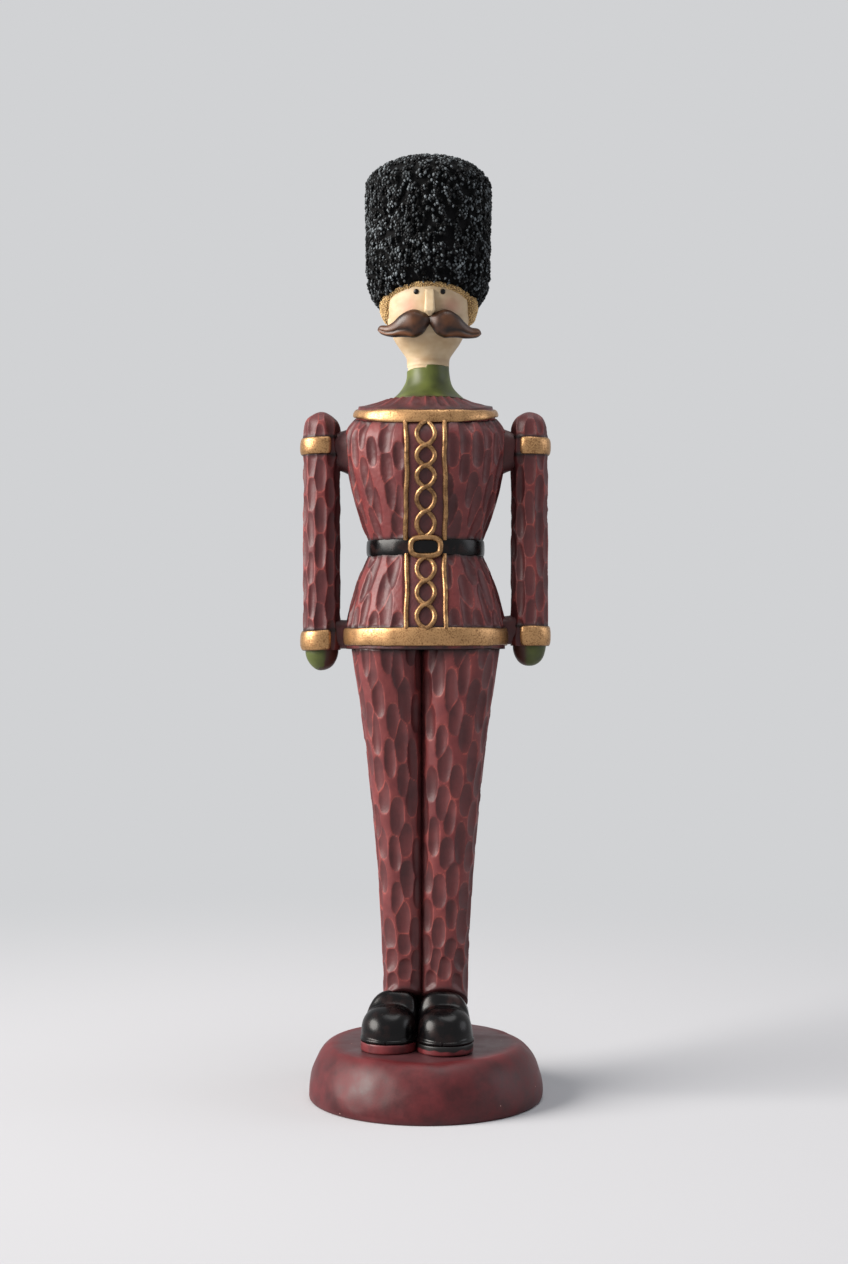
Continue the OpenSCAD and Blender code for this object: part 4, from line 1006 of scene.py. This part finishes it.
def shoe_piece(name, side):
    floor = box(name)[0][Z]
    ankle = ANKLE_Z - floor
    toe, heel = np.radians(np.linspace(-89, 0, 26)), np.radians(np.linspace(0, 88, 18))
    y = np.concatenate([TOE_Y + SHOE_W / 2 * np.sin(toe), np.linspace(TOE_Y, HEEL_Y, 44)[1:-1],
                        HEEL_Y + HEEL_W / 2 * np.sin(heel)])[:, None]
    toe_round = np.maximum(0.0004, 1 - (np.minimum(0, y - TOE_Y) / (SHOE_W / 2)) ** 2)
    cap = WELT_H + (TOE_H - WELT_H) * toe_round ** CAP_POWER
    throat = ease((y - TOE_Y) / (-ANKLE_DEEP - TOE_Y))
    rise = mix(TOE_H, ankle + HEM_SLOPE * ANKLE_DEEP + HEM_ARCH - THROAT_DROP, throat)
    hem = ankle - HEM_SLOPE * y - HEM_CLEAR + HEM_ARCH * np.clip(-y / ANKLE_DEEP, 0, 1)
    top = np.where(y < TOE_Y, cap, np.minimum(rise, hem))
    height = top - WELT_H - CREASE_DEEP * bell(y - TOE_Y - CREASE_BACK, CREASE_W)
    # an arch grows boxy under the leg, and its inner side stands straight, where the shoes touch
    arch = np.radians(np.linspace(-90, 90, 47))
    boxy = ease((y + ANKLE_DEEP) / 6)
    inward, steep = np.where(arch < 0, mix(1, 0.7, throat), 1), np.where(arch < 0, 0.4, 1)
    half = shoe_half(y)
    over_x = half * spow(np.sin(arch), mix(0.8 * inward, 0.5 * steep, boxy))
    over_z = WELT_H + height * np.abs(np.cos(arch)) ** mix(0.72 * inward, 0.4 * steep, boxy)
    welt = half + WELT_OUT
    under_x = np.hstack([welt, welt + 0.1, welt, welt / 2, -welt / 2, -welt, -welt - 0.1, -welt])
    under_z = np.array([WELT_H, WELT_H / 2, 0.05, 0, 0, 0.05, WELT_H / 2, WELT_H]) + 0 * y
    across, up = np.hstack([over_x, under_x]), np.hstack([over_z, under_z])
    rings = xyz(side * (shoe_mid(y) + across), y, floor + up)
    rings = rings + 0.15 * lumps(rings, 5, 33)[..., None] * [1, 1, 0.5]
    cast(name, "black_gloss", [{"rings": toed(rings), "rub": 0.35 + 0.3 * bell(y - TOE_Y - 2.5, 2)}])


shoe_piece("left_shoe", 1)
shoe_piece("right_shoe", -1)

# %% Soles
SOLE_SWELL, SOLE_IN, LINE_WANDER, LINE_SOFT = 0.45, 0.15, 0.12, 0.06


def sole_piece(name, side, paint_line):
    """A sole slab; paint_line is the share of its height where the black of the welt begins."""
    low, high = box(name)
    ends = []
    for y, r, first, last, count in ((TOE_Y, SHOE_W / 2, 180, 360, 60), (HEEL_Y, HEEL_W / 2, 0, 180, 40)):
        turn = np.radians(np.linspace(first, last, count))
        ends.append(np.stack([shoe_mid(y) + r * np.cos(turn), y + r * np.sin(turn)], -1))
    outline, _ = even(np.concatenate(ends), 160)
    way = outline - outline.mean(axis=0)
    way = way / np.linalg.norm(way, axis=1, keepdims=True)
    t = np.linspace(0, 1, 18)[:, None]
    swell = SOLE_SWELL * np.sqrt(np.clip(1 - (2 * t - 1) ** 6, 0, 1)) - SOLE_IN
    x, y = np.moveaxis(outline + way * swell[..., None], -1, 0)
    rings = xyz(side * x, y, mix(low[Z], high[Z], t))
    line = paint_line + LINE_WANDER * lumps(rings * [1, 1, 0], 2.5, 41)
    # the black of the welt above its line, and painted shade along the foot of the sole
    wash_and_shade = ease((t - line) / LINE_SOFT + 0.5) + 0.5 * bell(t, 0.12)
    rub = 0.5 * ease(0.5 + lumps(rings, 2, 43))
    cast(name, "sole_red", [{"rings": toed(rings), "wash_and_shade": wash_and_shade, "rub": rub}])


sole_piece("left_sole", 1, 0.5)
sole_piece("right_sole", -1, 0.96)

# %% [markdown]
# ## Plinth
# The plinth is a turned-looking drum with a small rounded foot, whose wall runs in one smooth
# curve up over the shoulder to the flat top, cast a little out of true. A lathe profile gives it:
# the wall is a curve pulled towards two handles, as in a drawing program. A slow wobble then takes
# away the machine-made look that a plain cylinder would keep.

# %% Plinth
_, (BASE_R, _, BASE_H) = box("base")
TOP_R, SHOULDER, WALL_SHARE, FOOT_IN, FOOT_H = 35.0, 5.0, 0.38, 1.0, 3.0
a = np.radians(np.linspace(-90, 0, 12))
foot = np.stack([BASE_R - FOOT_IN + FOOT_IN * np.cos(a), FOOT_H + FOOT_H * np.sin(a)], -1)
handles = np.array([(BASE_R, FOOT_H), (BASE_R, mix(FOOT_H, BASE_H, WALL_SHARE)), (TOP_R + SHOULDER, BASE_H),
                    (TOP_R, BASE_H)])
t = np.linspace(0, 1, 60)[1:]
wall = np.stack([(1 - t) ** 3, 3 * t * (1 - t) ** 2, 3 * t ** 2 * (1 - t), t ** 3], -1) @ handles
t = np.linspace(0, 0.97, 40)[1:]
top = np.stack([TOP_R * (1 - t), np.full(len(t), BASE_H)], -1)
r, z = np.concatenate([foot, wall, top]).T[..., None]
rings = lathe(0, r, z, turns(240))
wobble = 0.7 * lumps(rings, 17, 51) + 0.2 * lumps(rings, 5, 52)
rings = push(rings, -np.maximum(wobble + 0.1, 0) * ease((z - 0.2) / 2))
rub = 0.4 * bell(np.hypot(r - TOP_R, z - BASE_H), 3.2) * (0.6 + 0.6 * lumps(rings, 9, 53))
# the flat top is painted darker and browner
flat_top = ease((TOP_R - r) / 4) * ease((z - BASE_H + 1) / 0.8)
# painted shade along the foot, where the plinth meets the floor, with seeded tone
wash_and_shade = 0.8 * flat_top + 0.5 * bell(z, 1.2) + 0.1 * lumps(rings, 9, 54)
cast("plinth", "plinth_red", [{"rings": rings, "rub": rub, "wash_and_shade": wash_and_shade}], node="base")

# %% [markdown]
# ## Head
# The head is an egg that runs into the neck, so one lathe profile gives both without a seam.
# The real one is painted cream by hand: the cheeks have a soft pink blush, and a brown wash with
# painted shade sits under the moustache and round the neck. Both are spots measured from the face's middle.

# %% Head
HEAD_X, HEAD_R = middle("head", X), half_size("head", X)
CHIN_Z, HEAD_TOP_Z = (corner[Z] for corner in box("head"))
BROW_Z = mix(CHIN_Z, HEAD_TOP_Z, 0.52)
CHIN_DROP = HEAD_TOP_Z - BROW_Z
NECK_R, NECK_BLEND, NECK_TUCK = 8.0, 6, 2.6
FACE_X = HEAD_X + 0.45  # the features sit a little to the soldier's left of the head's middle
MOUTH_Z = mix(*(corner[Z] for corner in box("left_moustache")), 0.86)
CHEEK_OUT, CHEEK_UP, CHEEK_R = 7.9, 5.2, 3.4


def head_r(z):
    """Radius of head and neck at a height."""
    egg = HEAD_R * np.sqrt(np.clip(1 - ((z - BROW_Z) / CHIN_DROP) ** 2, 0, 1))
    return np.where(z > BROW_Z, egg, (NECK_R ** NECK_BLEND + egg ** NECK_BLEND) ** (1 / NECK_BLEND))


angle = turns(140)
dome = np.sin(np.linspace(0, math.pi / 2, 26)[1:-1])
z = np.concatenate([np.linspace(CHIN_Z - NECK_TUCK, BROW_Z, 76), BROW_Z + CHIN_DROP * dome])[:, None]
rings = lathe(HEAD_X, head_r(z) - 0.25 * (z < CHIN_Z + 0.2), z, angle)
strokes = 0.05 * lumps(rings * [0.3, 0.3, 1], 0.9, 60)
rings = push(rings, 0.1 * lumps(rings * [1, 1, 1.6], 4, 61) + strokes)
x, y, z = np.moveaxis(rings, -1, 0)
blush = sum(bell(np.hypot(x - FACE_X - s * CHEEK_OUT, z - MOUTH_Z - CHEEK_UP), CHEEK_R) for s in (-1, 1))
# a brown wash and painted shade under the moustache and under the chin
under = 0.35 * bell(z - MOUTH_Z + 6.5, 4) + 0.4 * bell(z - CHIN_Z - 2.2, 1.2)
wash_and_shade = np.clip(under + 0.12 * lumps(rings * [1, 1, 3], 2.6, 62), 0, 0.6)
cast("head", "cream_face", [{"rings": rings, "rub": np.where(y < 0, 0.6 * blush, 0), "wash_and_shade": wash_and_shade}])

# %% [markdown]
# ## Collar
# The collar is a green sleeve round the neck that flares onto the yoke. Its upper edge is only a
# painted line, uneven and a step lower on one side, with the cream of the neck showing over it.
# Modelled as a thin sleeve with that edge, it stays crisp from near by, as a blend would not.

# %% Collar
STEP_H, STEP_ANGLE, EDGE_UP, SLEEVE = 1.5, math.radians(4), 0.5, 0.1
FRONT = 1.5 * math.pi
t = np.linspace(0, 1, 46)[:, None]
step = STEP_H * ease((-STEP_ANGLE - (angle - FRONT)) / 0.08 + 0.5) * ease((angle - 0.75 * math.pi) / 0.3)
edge = CHIN_Z + EDGE_UP - step + 0.25 * lumps(xyz(angle * 8, 0, 0), 2, 63)
z = mix(COLLAR_Z - 0.3, edge, t)
flare = 1 - part_way(z, COLLAR_Z, CHIN_Z)
r = NECK_R + SLEEVE + (COLLAR_R + 0.8 - NECK_R) * flare ** 3 - 0.35 * ease((t - 0.97) / 0.03)
rings = lathe(HEAD_X, r, z, angle)
rings = push(rings, 0.15 * lumps(rings, 4, 64))
rub = 0.5 * ease(0.45 + 0.8 * lumps(rings, 5, 66)) * (1 - 0.3 * t)
# painted shade where the collar meets the yoke
cast("collar", "olive_green", [{"rings": rings, "rub": rub, "wash_and_shade": 0.6 * bell(t, 0.06)}])

# %% [markdown]
# ## Nose
# The nose is a whittled wedge with flat facets and a narrow bridge. A smooth blob would lose the
# facets, so it is a stack of trapezoids whose corners are just softened by averaging.

# %% Nose
nose_low, nose_high = box("nose")
NOSE_BASE, NOSE_RIDGE, SIDE_POINTS = (2.35, 1.6), (1.9, 1.55), 8
rings = []
for s in np.linspace(0, 1, 36):
    z = mix(nose_low[Z] - 0.6, nose_high[Z] + 0.8, s)
    base_w = mix(*NOSE_BASE, s) * (0.3 + 0.7 * ease(s / 0.2))
    ridge_w = mix(*NOSE_RIDGE, s) * (0.3 + 0.7 * ease(s / 0.22))
    face = -head_r(z)
    tip = mix(nose_low[Y] + 0.1, face - 0.9, ease(s * 0.5 + s * s * 0.5)) + 2.4 * (1 - ease(s / 0.16))
    corners = np.array([[base_w + 0.5, face + 1.5], [base_w, face + 0.2], [ridge_w, tip],
                        [-ridge_w, tip], [-base_w, face + 0.2], [-base_w - 0.5, face + 1.5]])
    along = np.linspace(0, 1, SIDE_POINTS, endpoint=False)[:, None]
    flat = np.concatenate([mix(a, b, along) for a, b in zip(corners, np.roll(corners, -1, axis=0))])
    for _ in range(2):
        flat = (np.roll(flat, 1, axis=0) + 2 * flat + np.roll(flat, -1, axis=0)) / 4
    rings.append(xyz(FACE_X + 0.1 + flat[:, 0], flat[:, 1], z))
rings = np.array(rings)
# painted shade where the nose meets the face
beside = ease((rings[..., Y] + head_r(rings[..., Z]) + 0.9) / 0.8)
cast("nose", "cream_face", [{"rings": rings, "rub": 0, "wash_and_shade": 0.35 * beside}])

# %% [markdown]
# ## Eyes
# The eyes are two raised dots of thick paint. Each is a shallow dome that stands square on the
# curve of the face; a flat disc would leave no highlight.

# %% Eyes
EYE_R, EYE_Z = half_size("eyes", Z), middle("eyes", Z) + 0.5
EYE_X = half_size("eyes", X) - EYE_R
EYE_RIM, EYE_SWELL, EYE_SINK = 0.15, 0.4, 0.6
face_y = -math.sqrt(HEAD_R ** 2 - EYE_X ** 2)
dip = np.linspace(0, math.pi / 2, 12)[:-1]
r = np.concatenate([[EYE_R], EYE_R * np.cos(dip)])[:, None]
out = np.concatenate([[-EYE_SINK], EYE_RIM + EYE_SWELL * np.sin(dip)])[:, None]
rim = np.concatenate([[1, 1], ease((np.cos(dip[1:]) - 0.8) / 0.2)])[:, None]
turn = turns(32)
eyes = []
for side in (-1, 1):
    way_x, way_y = side * EYE_X / HEAD_R, face_y / HEAD_R
    across = r * np.cos(turn)
    rings = xyz(FACE_X + side * EYE_X + way_x * out - way_y * across, face_y + way_y * out + way_x * across,
                EYE_Z + r * np.sin(turn))
    eyes.append({"rings": rings, "rub": 0.8 * rim})
cast("eyes", "eye_black", eyes)

# %% [markdown]
# ## Moustache
# Each half of the moustache is a fat leaf that tapers to a small upturned knob, with a chisel
# line along it. It could be sculpted, but a round section whose thickness and droop change from
# station to station is easier to match to a picture. It bends back with the face.

# %% Moustache
# Stations along one half, in millimetres: how far out, how thick, and how far the middle hangs.
OUT = np.array([0, 0.6, 2.4, 5.3, 7.7, 10.1, 13.1, 15.4, 17.8, 18.7, 19.3])
THICK = np.array([2.6, 4.2, 8.2, 10.7, 9.9, 8.6, 5.8, 4.1, 3.5, 2.8, 1.0])
HANG = np.array([0.3, 0.75, 1.6, 1.7, 1.8, 2.4, 4.1, 4.7, 4.15, 3.95, 3.9])
LEAF_DEEP, LEAF_TALL, LEAF_POWER, BEND, FACE_STAND = 0.36, 0.5, 0.85, 6.5, 1.4
TIP_LIFT = 0.17  # the tips lie further back, where they would look lower, so they are set higher


def through(x, values):
    """A smooth line through the stations: straight runs, averaged over a short reach."""
    return np.mean([np.interp(x + s, OUT, values) for s in np.linspace(-0.9, 0.9, 9)], axis=0)


def half_moustache(name, side, sink):
    """One half; sink is how much lower its tip hangs."""
    t = np.concatenate([np.linspace(0, 0.9, 60), 0.9 + 0.1 * np.sin(np.linspace(0, math.pi / 2, 14)[1:-1])])
    x, bend = OUT[-1] * t, BEND * t * t
    y = -head_r(MOUTH_Z) - FACE_STAND + bend
    lean = np.arctan2(np.gradient(y), np.gradient(x))[:, None]
    hang = through(x, HANG) + sink * t ** 3 - TIP_LIFT * bend
    thick = through(x, THICK) * np.sqrt(np.clip(1 - part_way(t, 0.95, 1) ** 2, 0.05, 1))
    turn = turns(56)
    deep, tall = LEAF_DEEP * np.cos(turn), LEAF_TALL * spow(np.sin(turn), LEAF_POWER)
    away = thick[:, None, None] * xyz(-deep * np.sin(lean), deep * np.cos(lean), tall)
    rings = xyz(x, y, MOUTH_Z - hang)[:, None] + away
    away = away / np.maximum(np.linalg.norm(away, axis=-1, keepdims=True), 1e-6)
    # a chisel line runs from the middle of the leaf to the tip, with a raised lip below it
    t, facing, up = t[:, None], np.cos(turn) < 0, np.sin(turn)
    level, begun = up - mix(-0.75, -0.1, t), ease((t - 0.22) / 0.15)
    line = bell(level, 0.1) * facing * begun * ease((0.97 - t) / 0.1)
    lip = bell(level + 0.28, 0.16) * facing * begun
    rings = rings + away * (0.3 * lip - 0.35 * line + 0.12 * lumps(rings, 3, 83))[..., None]
    rub = 0.8 * lip + 0.35 * bell(up - 0.1, 0.5) * ease((t - 0.1) / 0.2) + 0.35 * lumps(rings, 4, 84)
    # a dark wash and painted shade at the middle and the tips, along the top and bottom edges and in the
    # chisel line
    ends = 0.8 * bell(t, 0.06) + 0.5 * ease((t - 0.88) / 0.1)
    wash_and_shade = ends + 0.7 * ease((np.abs(up) - 0.86) / 0.12) + 0.8 * line + 0.2 * lumps(rings, 3, 85)
    rings[..., X] = FACE_X + side * rings[..., X]
    cast(name, "moustache_brown", [{"rings": rings, "rub": rub, "wash_and_shade": wash_and_shade}])


half_moustache("left_moustache", 1, 1.5)
half_moustache("right_moustache", -1, 0)

# %% [markdown]
# ## The fur hat and the hair
# The tall hat is cast with tight curls all over, and the hair below its rim has the same curls in
# tan paint. Thousands of small bumps on a surface are work for Geometry Nodes: points are
# scattered over a form, none nearer than a set spacing, and each gets a small round nub, a little
# longer than wide, that lies on the surface about upright. The hat's form has winding ridges, and
# only the ridges are furred, so the gaps between them stay deep and black.

# %% A tree for curled fur
fur, given = new_tree("curled_fur", {"Form": "Geometry", "Spacing": "Float", "Nub Length": "Float",
                                     "Nub Width": "Float", "Seed": "Int", "Paint": "Material"}, "Fur")
furry = add(fur, "GeometryNodeInputNamedAttribute", {"Name": "furry"})
dots = add(fur, "GeometryNodeDistributePointsOnFaces",
           {"Mesh": given["Form"], "Distance Min": given["Spacing"], "Density Max": 8e6,
            "Density Factor": furry, "Seed": given["Seed"]}, out=None, distribute_method="POISSON").outputs
# random numbers for each nub: its tone, its lean to one side and its size
shade, lean, vary = (add(fur, "FunctionNodeRandomValue", {2: least, 3: most, 8: seed}, out=1)
                     for least, most, seed in ((0.0, 1.0, 5), (-0.8, 0.8, 2), (0.7, 1.25, 3)))
nub = add(fur, "GeometryNodeMeshIcoSphere", {"Radius": 0.5, "Subdivisions": 1})
height = add(fur, "ShaderNodeSeparateXYZ", {0: add(fur, "GeometryNodeInputPosition")}, out="Z")
crest = add(fur, "ShaderNodeMapRange", {0: height, 1: -0.05, 2: 0.45})
points, nub = (add(fur, "GeometryNodeStoreNamedAttribute", {"Geometry": shape, "Name": key, "Value": value},
                   domain="POINT")
               for shape, key, value in ((dots["Points"], "tone", shade), (nub, "crest", crest)))
stand = add(fur, "FunctionNodeAlignRotationToVector", {"Vector": dots["Normal"]}, axis="Z")
stand = add(fur, "FunctionNodeAlignRotationToVector", {"Rotation": stand, "Vector": (0, 0, 1)},
            axis="Y", pivot_axis="Z")
lean = add(fur, "FunctionNodeAxisAngleToRotation", {"Axis": (0, 0, 1), "Angle": lean})
stand = add(fur, "FunctionNodeRotateRotation", {"Rotation": stand, "Rotate By": lean},
            rotation_space="LOCAL")
wide, long = (add(fur, "ShaderNodeMath", {0: vary, 1: given[key]}, operation="MULTIPLY")
              for key in ("Nub Width", "Nub Length"))
size = add(fur, "ShaderNodeCombineXYZ", {"X": wide, "Y": long, "Z": wide})
nubs = add(fur, "GeometryNodeInstanceOnPoints",
           {"Points": points, "Instance": nub, "Rotation": stand, "Scale": size})
nubs = add(fur, "GeometryNodeRealizeInstances", {"Geometry": nubs})
both = add(fur, "GeometryNodeJoinGeometry", {"Geometry": given["Form"]}, out=None)
fur.links.new(nubs, both.inputs[0])
end_tree(fur, both.outputs[0], given["Paint"], "Fur")


def furred(name, slot, part, spacing, length, width):
    """Grows nubs on a form; sizes in millimetres."""
    sizes = {"Spacing": spacing * MM, "Nub Length": length * MM, "Nub Width": width * MM, "Seed": 4,
             "Paint": paints[slot]}
    stand_in(grown(name, skin(name + "_form", [part]), fur, sizes), slot, name)


# %% [markdown]
# ### Hat
# The hat widens from its rim to a straight side and ends in a low dome, and its rim dips at the
# nape and lifts over the brow. The form is a lathe shape with noise cut into it: where the noise
# is near nought a ridge stays, which gives long winding ridges rather than round lumps.

# %% Hat
hat_low, hat_high = box("bearskin_hat")
CAD_RIM_R, RIM_TILT, RIM_LEVEL_H = 19.7, 0.38, 30
RIM_Z = hat_low[Z] + RIM_TILT * CAD_RIM_R
RIM_R, RIM_ROUND, DOME_H, HAT_TAPER, HAT_FULL, TOP_IN = 18.2, 13.0, 12.8, 0.5, 0.5, 0.3
HAT_R = half_size("bearskin_hat", X) + HAT_FULL
CROWN_Z = hat_high[Z] - TOP_IN - DOME_H
RIDGE_H, FUR_SPACING, FUR_LENGTH, FUR_WIDTH = 1.5, 0.86, 1.4, 1.0


def hat_r(z):
    """Radius of the hat at a height over a level rim."""
    rounding = np.clip(1 - (1 - (z - RIM_Z) / RIM_ROUND) ** 2, 0, 1) ** 0.75
    foot = mix(RIM_R, HAT_R - HAT_TAPER, rounding)
    side = mix(HAT_R - HAT_TAPER, HAT_R, part_way(z, RIM_Z + RIM_ROUND, CROWN_Z))
    crown = HAT_R * np.sqrt(np.clip(1 - ((z - CROWN_Z) / DOME_H) ** 2, 0, 1))
    return np.where(z < RIM_Z + RIM_ROUND, foot, np.where(z < CROWN_Z, side, crown))


def rim_drop(angle):
    """How steeply the rim drops on each side: low at the nape, high over the brow."""
    return RIM_TILT * np.where(angle < math.pi, np.sin(angle) ** 3, np.sin(angle))


angle = turns(230)
dome = np.sin(np.linspace(0, math.pi / 2, 32)[1:-1])
z = np.concatenate([np.linspace(RIM_Z + 0.25, CROWN_Z, 76), CROWN_Z + DOME_H * dome])[:, None]
r = hat_r(z)
tip = 1 - ease((z - RIM_Z) / RIM_LEVEL_H)
rings = lathe(HEAD_X, r, z - tip * r * rim_drop(angle), angle)
wind = lumps(rings * [1, 1, 0.55], 2.0, 91) + 0.4 * lumps(rings, 1.2, 92)
ridge = ease(1.25 - 2.4 * np.abs(wind))
shallow = 1 - 0.45 * ease((z - CROWN_Z) / DOME_H)
rings = push(rings, -(FUR_WIDTH * 0.35 + RIDGE_H * shallow * (1 - ridge)))
mouth = np.array([mix(rings[0], rings[0].mean(axis=0), s) for s in (0.6, 0.3)])
furry = np.concatenate([np.zeros((2, len(angle))), ridge])
form = {"rings": np.concatenate([mouth, rings]), "furry": furry, "crest": 0, "tone": 0}
furred("bearskin_hat", "fur_black", form, FUR_SPACING, FUR_LENGTH, FUR_WIDTH)

# %% [markdown]
# ### Hair
# Hair shows under the rim as a thin fringe over the brow and deeper locks at the sides and the
# nape. A ring that follows the rim and hugs the head gives its form; the same tree then grows
# finer curls on it, all over this time.

# %% Hair
HAIR_R, HAIR_FLAT, HAIR_SHIFT, HAIR_TUCK = half_size("hair", X), 0.96, 0.3, 1.2
FRINGE_H, LOCK_H, LOCK_FROM, LOCK_OVER = 0.25, 5.2, math.radians(60), math.radians(14)
CURL_SPACING, CURL_LENGTH, CURL_WIDTH = 0.62, 0.95, 0.62
angle = turns(300)
from_front = np.abs((angle - FRONT + math.pi) % (2 * math.pi) - math.pi)
lock = ease((from_front - LOCK_FROM) / LOCK_OVER)
deep = mix(FRINGE_H, LOCK_H, lock)
full = mix(HAIR_R - 1.2, HAIR_R - 0.2, lock)
hug = np.minimum(head_r(RIM_Z - deep - HAIR_R * rim_drop(angle)) + 0.2, full)
s = np.linspace(0, 1, 22)[:, None]
r = mix(hug, full, np.sqrt(1 - (1 - s) ** 2))
z = RIM_Z + HAIR_TUCK - (deep + HAIR_TUCK) * (1 - s) - HAIR_FLAT * r * rim_drop(angle)
rings = lathe(HEAD_X + HAIR_SHIFT, r, z, angle, HAIR_FLAT)
form = {"rings": push(rings, 0.25 * lumps(rings, 2.2, 72)), "furry": 1, "crest": 0.1, "tone": 1}
furred("hair", "hair_tan", form, CURL_SPACING, CURL_LENGTH, CURL_WIDTH)

# %% [markdown]
# ## Pieces kept from the frame
# The felt pad and the pins inside are right as they are: a plain disc and plain rods. Modelling
# them again would add nothing, so they keep their solids and get a finish of their own.

# %% Felt pad and pins
for name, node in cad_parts.items():
    kept = "felt" if name == "felt_pad" else "steel" if "dowel" in name or "rod" in name else None
    if kept:
        node.data.materials.clear()
        node.data.materials.append(paints[kept])
        print(name, "keeps its solid, in", paints[kept].name)

# %% [markdown]
# ## Camera
# The camera stands level with the middle of the figure, a little under 0.7 m away, so both the
# top of the plinth and the underside of the hat's rim show. Level, it keeps upright lines upright;
# tipped down, it would make them lean together.

# %% Camera
DISTANCE, EYE_HEIGHT, EYE_X_SHIFT = 0.695, 0.1759, -0.0006
SENSOR, FOCUS_PIXELS, PICTURE_H = 36, 1830, 1264  # the sensor's 36 mm lie along the picture's height
camera_data = bpy.data.cameras.new("camera")
camera_data.sensor_width = SENSOR
camera_data.lens = SENSOR * FOCUS_PIXELS / PICTURE_H
camera = put("camera", camera_data)
camera.location = (EYE_X_SHIFT, -DISTANCE, EYE_HEIGHT)
camera.rotation_euler = (math.pi / 2, 0, 0)
bpy.context.scene.camera = camera
print("camera with a lens of", round(camera_data.lens, 1), "mm")

# %% [markdown]
# ## Stage
# The figure stands on one pale sweep of paper. A bent sheet would show its back from behind, so
# the floor is a flat disc that fades, some way off, into a pale room with no edge, and every side
# can be looked at. Only rays from the eye, or seen in gloss, meet the fade: light sees plain paper.

# %% Stage
PALE, PAPER, DIM = linear("#d1d2d4"), linear("#c2c3c7"), linear("#6a6b6d")
FADE_FROM, FADE_TO, FLOOR_R, FLOOR_SIDES = 0.15, 0.6, 8.0, 64


def seen(tree):
    """1 for a ray from the eye, or one that shows the room in gloss or glass; 0 for a ray of light."""
    path = add(tree, "ShaderNodeLightPath", out=None).outputs
    either = path["Is Camera Ray"]
    for ray in ("Is Glossy Ray", "Is Transmission Ray"):
        either = add(tree, "ShaderNodeMath", {0: either, 1: path[ray]}, operation="MAXIMUM")
    return either


tree = new_finish("paper", "matt_paper_floor")[0]
where = tree.nodes["Texture Coordinate"].outputs["Object"]
away = add(tree, "ShaderNodeVectorMath", {0: where}, operation="LENGTH", out="Value")
far = add(tree, "ShaderNodeMapRange", {0: away, 1: FADE_FROM, 2: FADE_TO},
          interpolation_type="SMOOTHSTEP")
far = add(tree, "ShaderNodeMath", {0: far, 1: seen(tree)}, operation="MULTIPLY")
paint = add(tree, "ShaderNodeMix", {0: far, 6: PAPER, 7: linear("#000000")}, data_type="RGBA", out=2)
fill(tree, tree.nodes["Principled BSDF"],
     {"Base Color": paint, "Emission Strength": far, "Emission Color": PALE, "Roughness": 0.9,
      "Specular IOR Level": 0.0})
mesh = bpy.data.meshes.new("paper_floor")
disc = [(FLOOR_R * math.cos(a), FLOOR_R * math.sin(a), 0) for a in turns(FLOOR_SIDES)]
mesh.from_pydata(disc, [], [range(FLOOR_SIDES)])
mesh.materials.append(paints["paper"])
floor = put("paper_floor", mesh)
print("floor of", 2 * FLOOR_R, "m, fading from", FADE_FROM, "to", FADE_TO, "m")

# %% [markdown]
# ## Light
# A large soft lamp from the upper left gives the light its direction, as a window would. A weak
# one from above and one from the right keep the shade from going dead. The room looks pale to the
# eye and in gloss, but lights the figure only a little, which keeps the shade dark.

# %% Light
# Each row: place, aim, size in metres, power in watts and tint.
LAMPS = {
    "key": ((-2.75, -0.95, 1.5), (0, 0, 0.2), 2.3, 226, "#fffaf4"),
    "top": ((0.3, -0.2, 2.4), (0, 0, 0), 1.6, 24, "#ffffff"),
    "side": ((2.4, -0.2, 0.9), (0, 0, 0.2), 1.4, 11, "#f6f8ff"),
}
for name, (place, aim, size, power, tint) in LAMPS.items():
    data = bpy.data.lights.new(name, "AREA")
    data.shape, data.size, data.energy, data.color = "DISK", size, power, linear(tint)[:3]
    light = put(name, data)
    light.location = place
    light.rotation_euler = (Vector(aim) - Vector(place)).to_track_quat("-Z", "Y").to_euler()
    print("lamp", name, power, "W")
world = bpy.data.worlds.new("pale_room")
bpy.context.scene.world = world
world.use_nodes = True
tree = world.node_tree
room = add(tree, "ShaderNodeMix", {0: seen(tree), 6: DIM, 7: PALE}, data_type="RGBA", out=2)
fill(tree, tree.nodes["Background"], {"Color": room})
bpy.context.scene.view_settings.view_transform = "Standard"
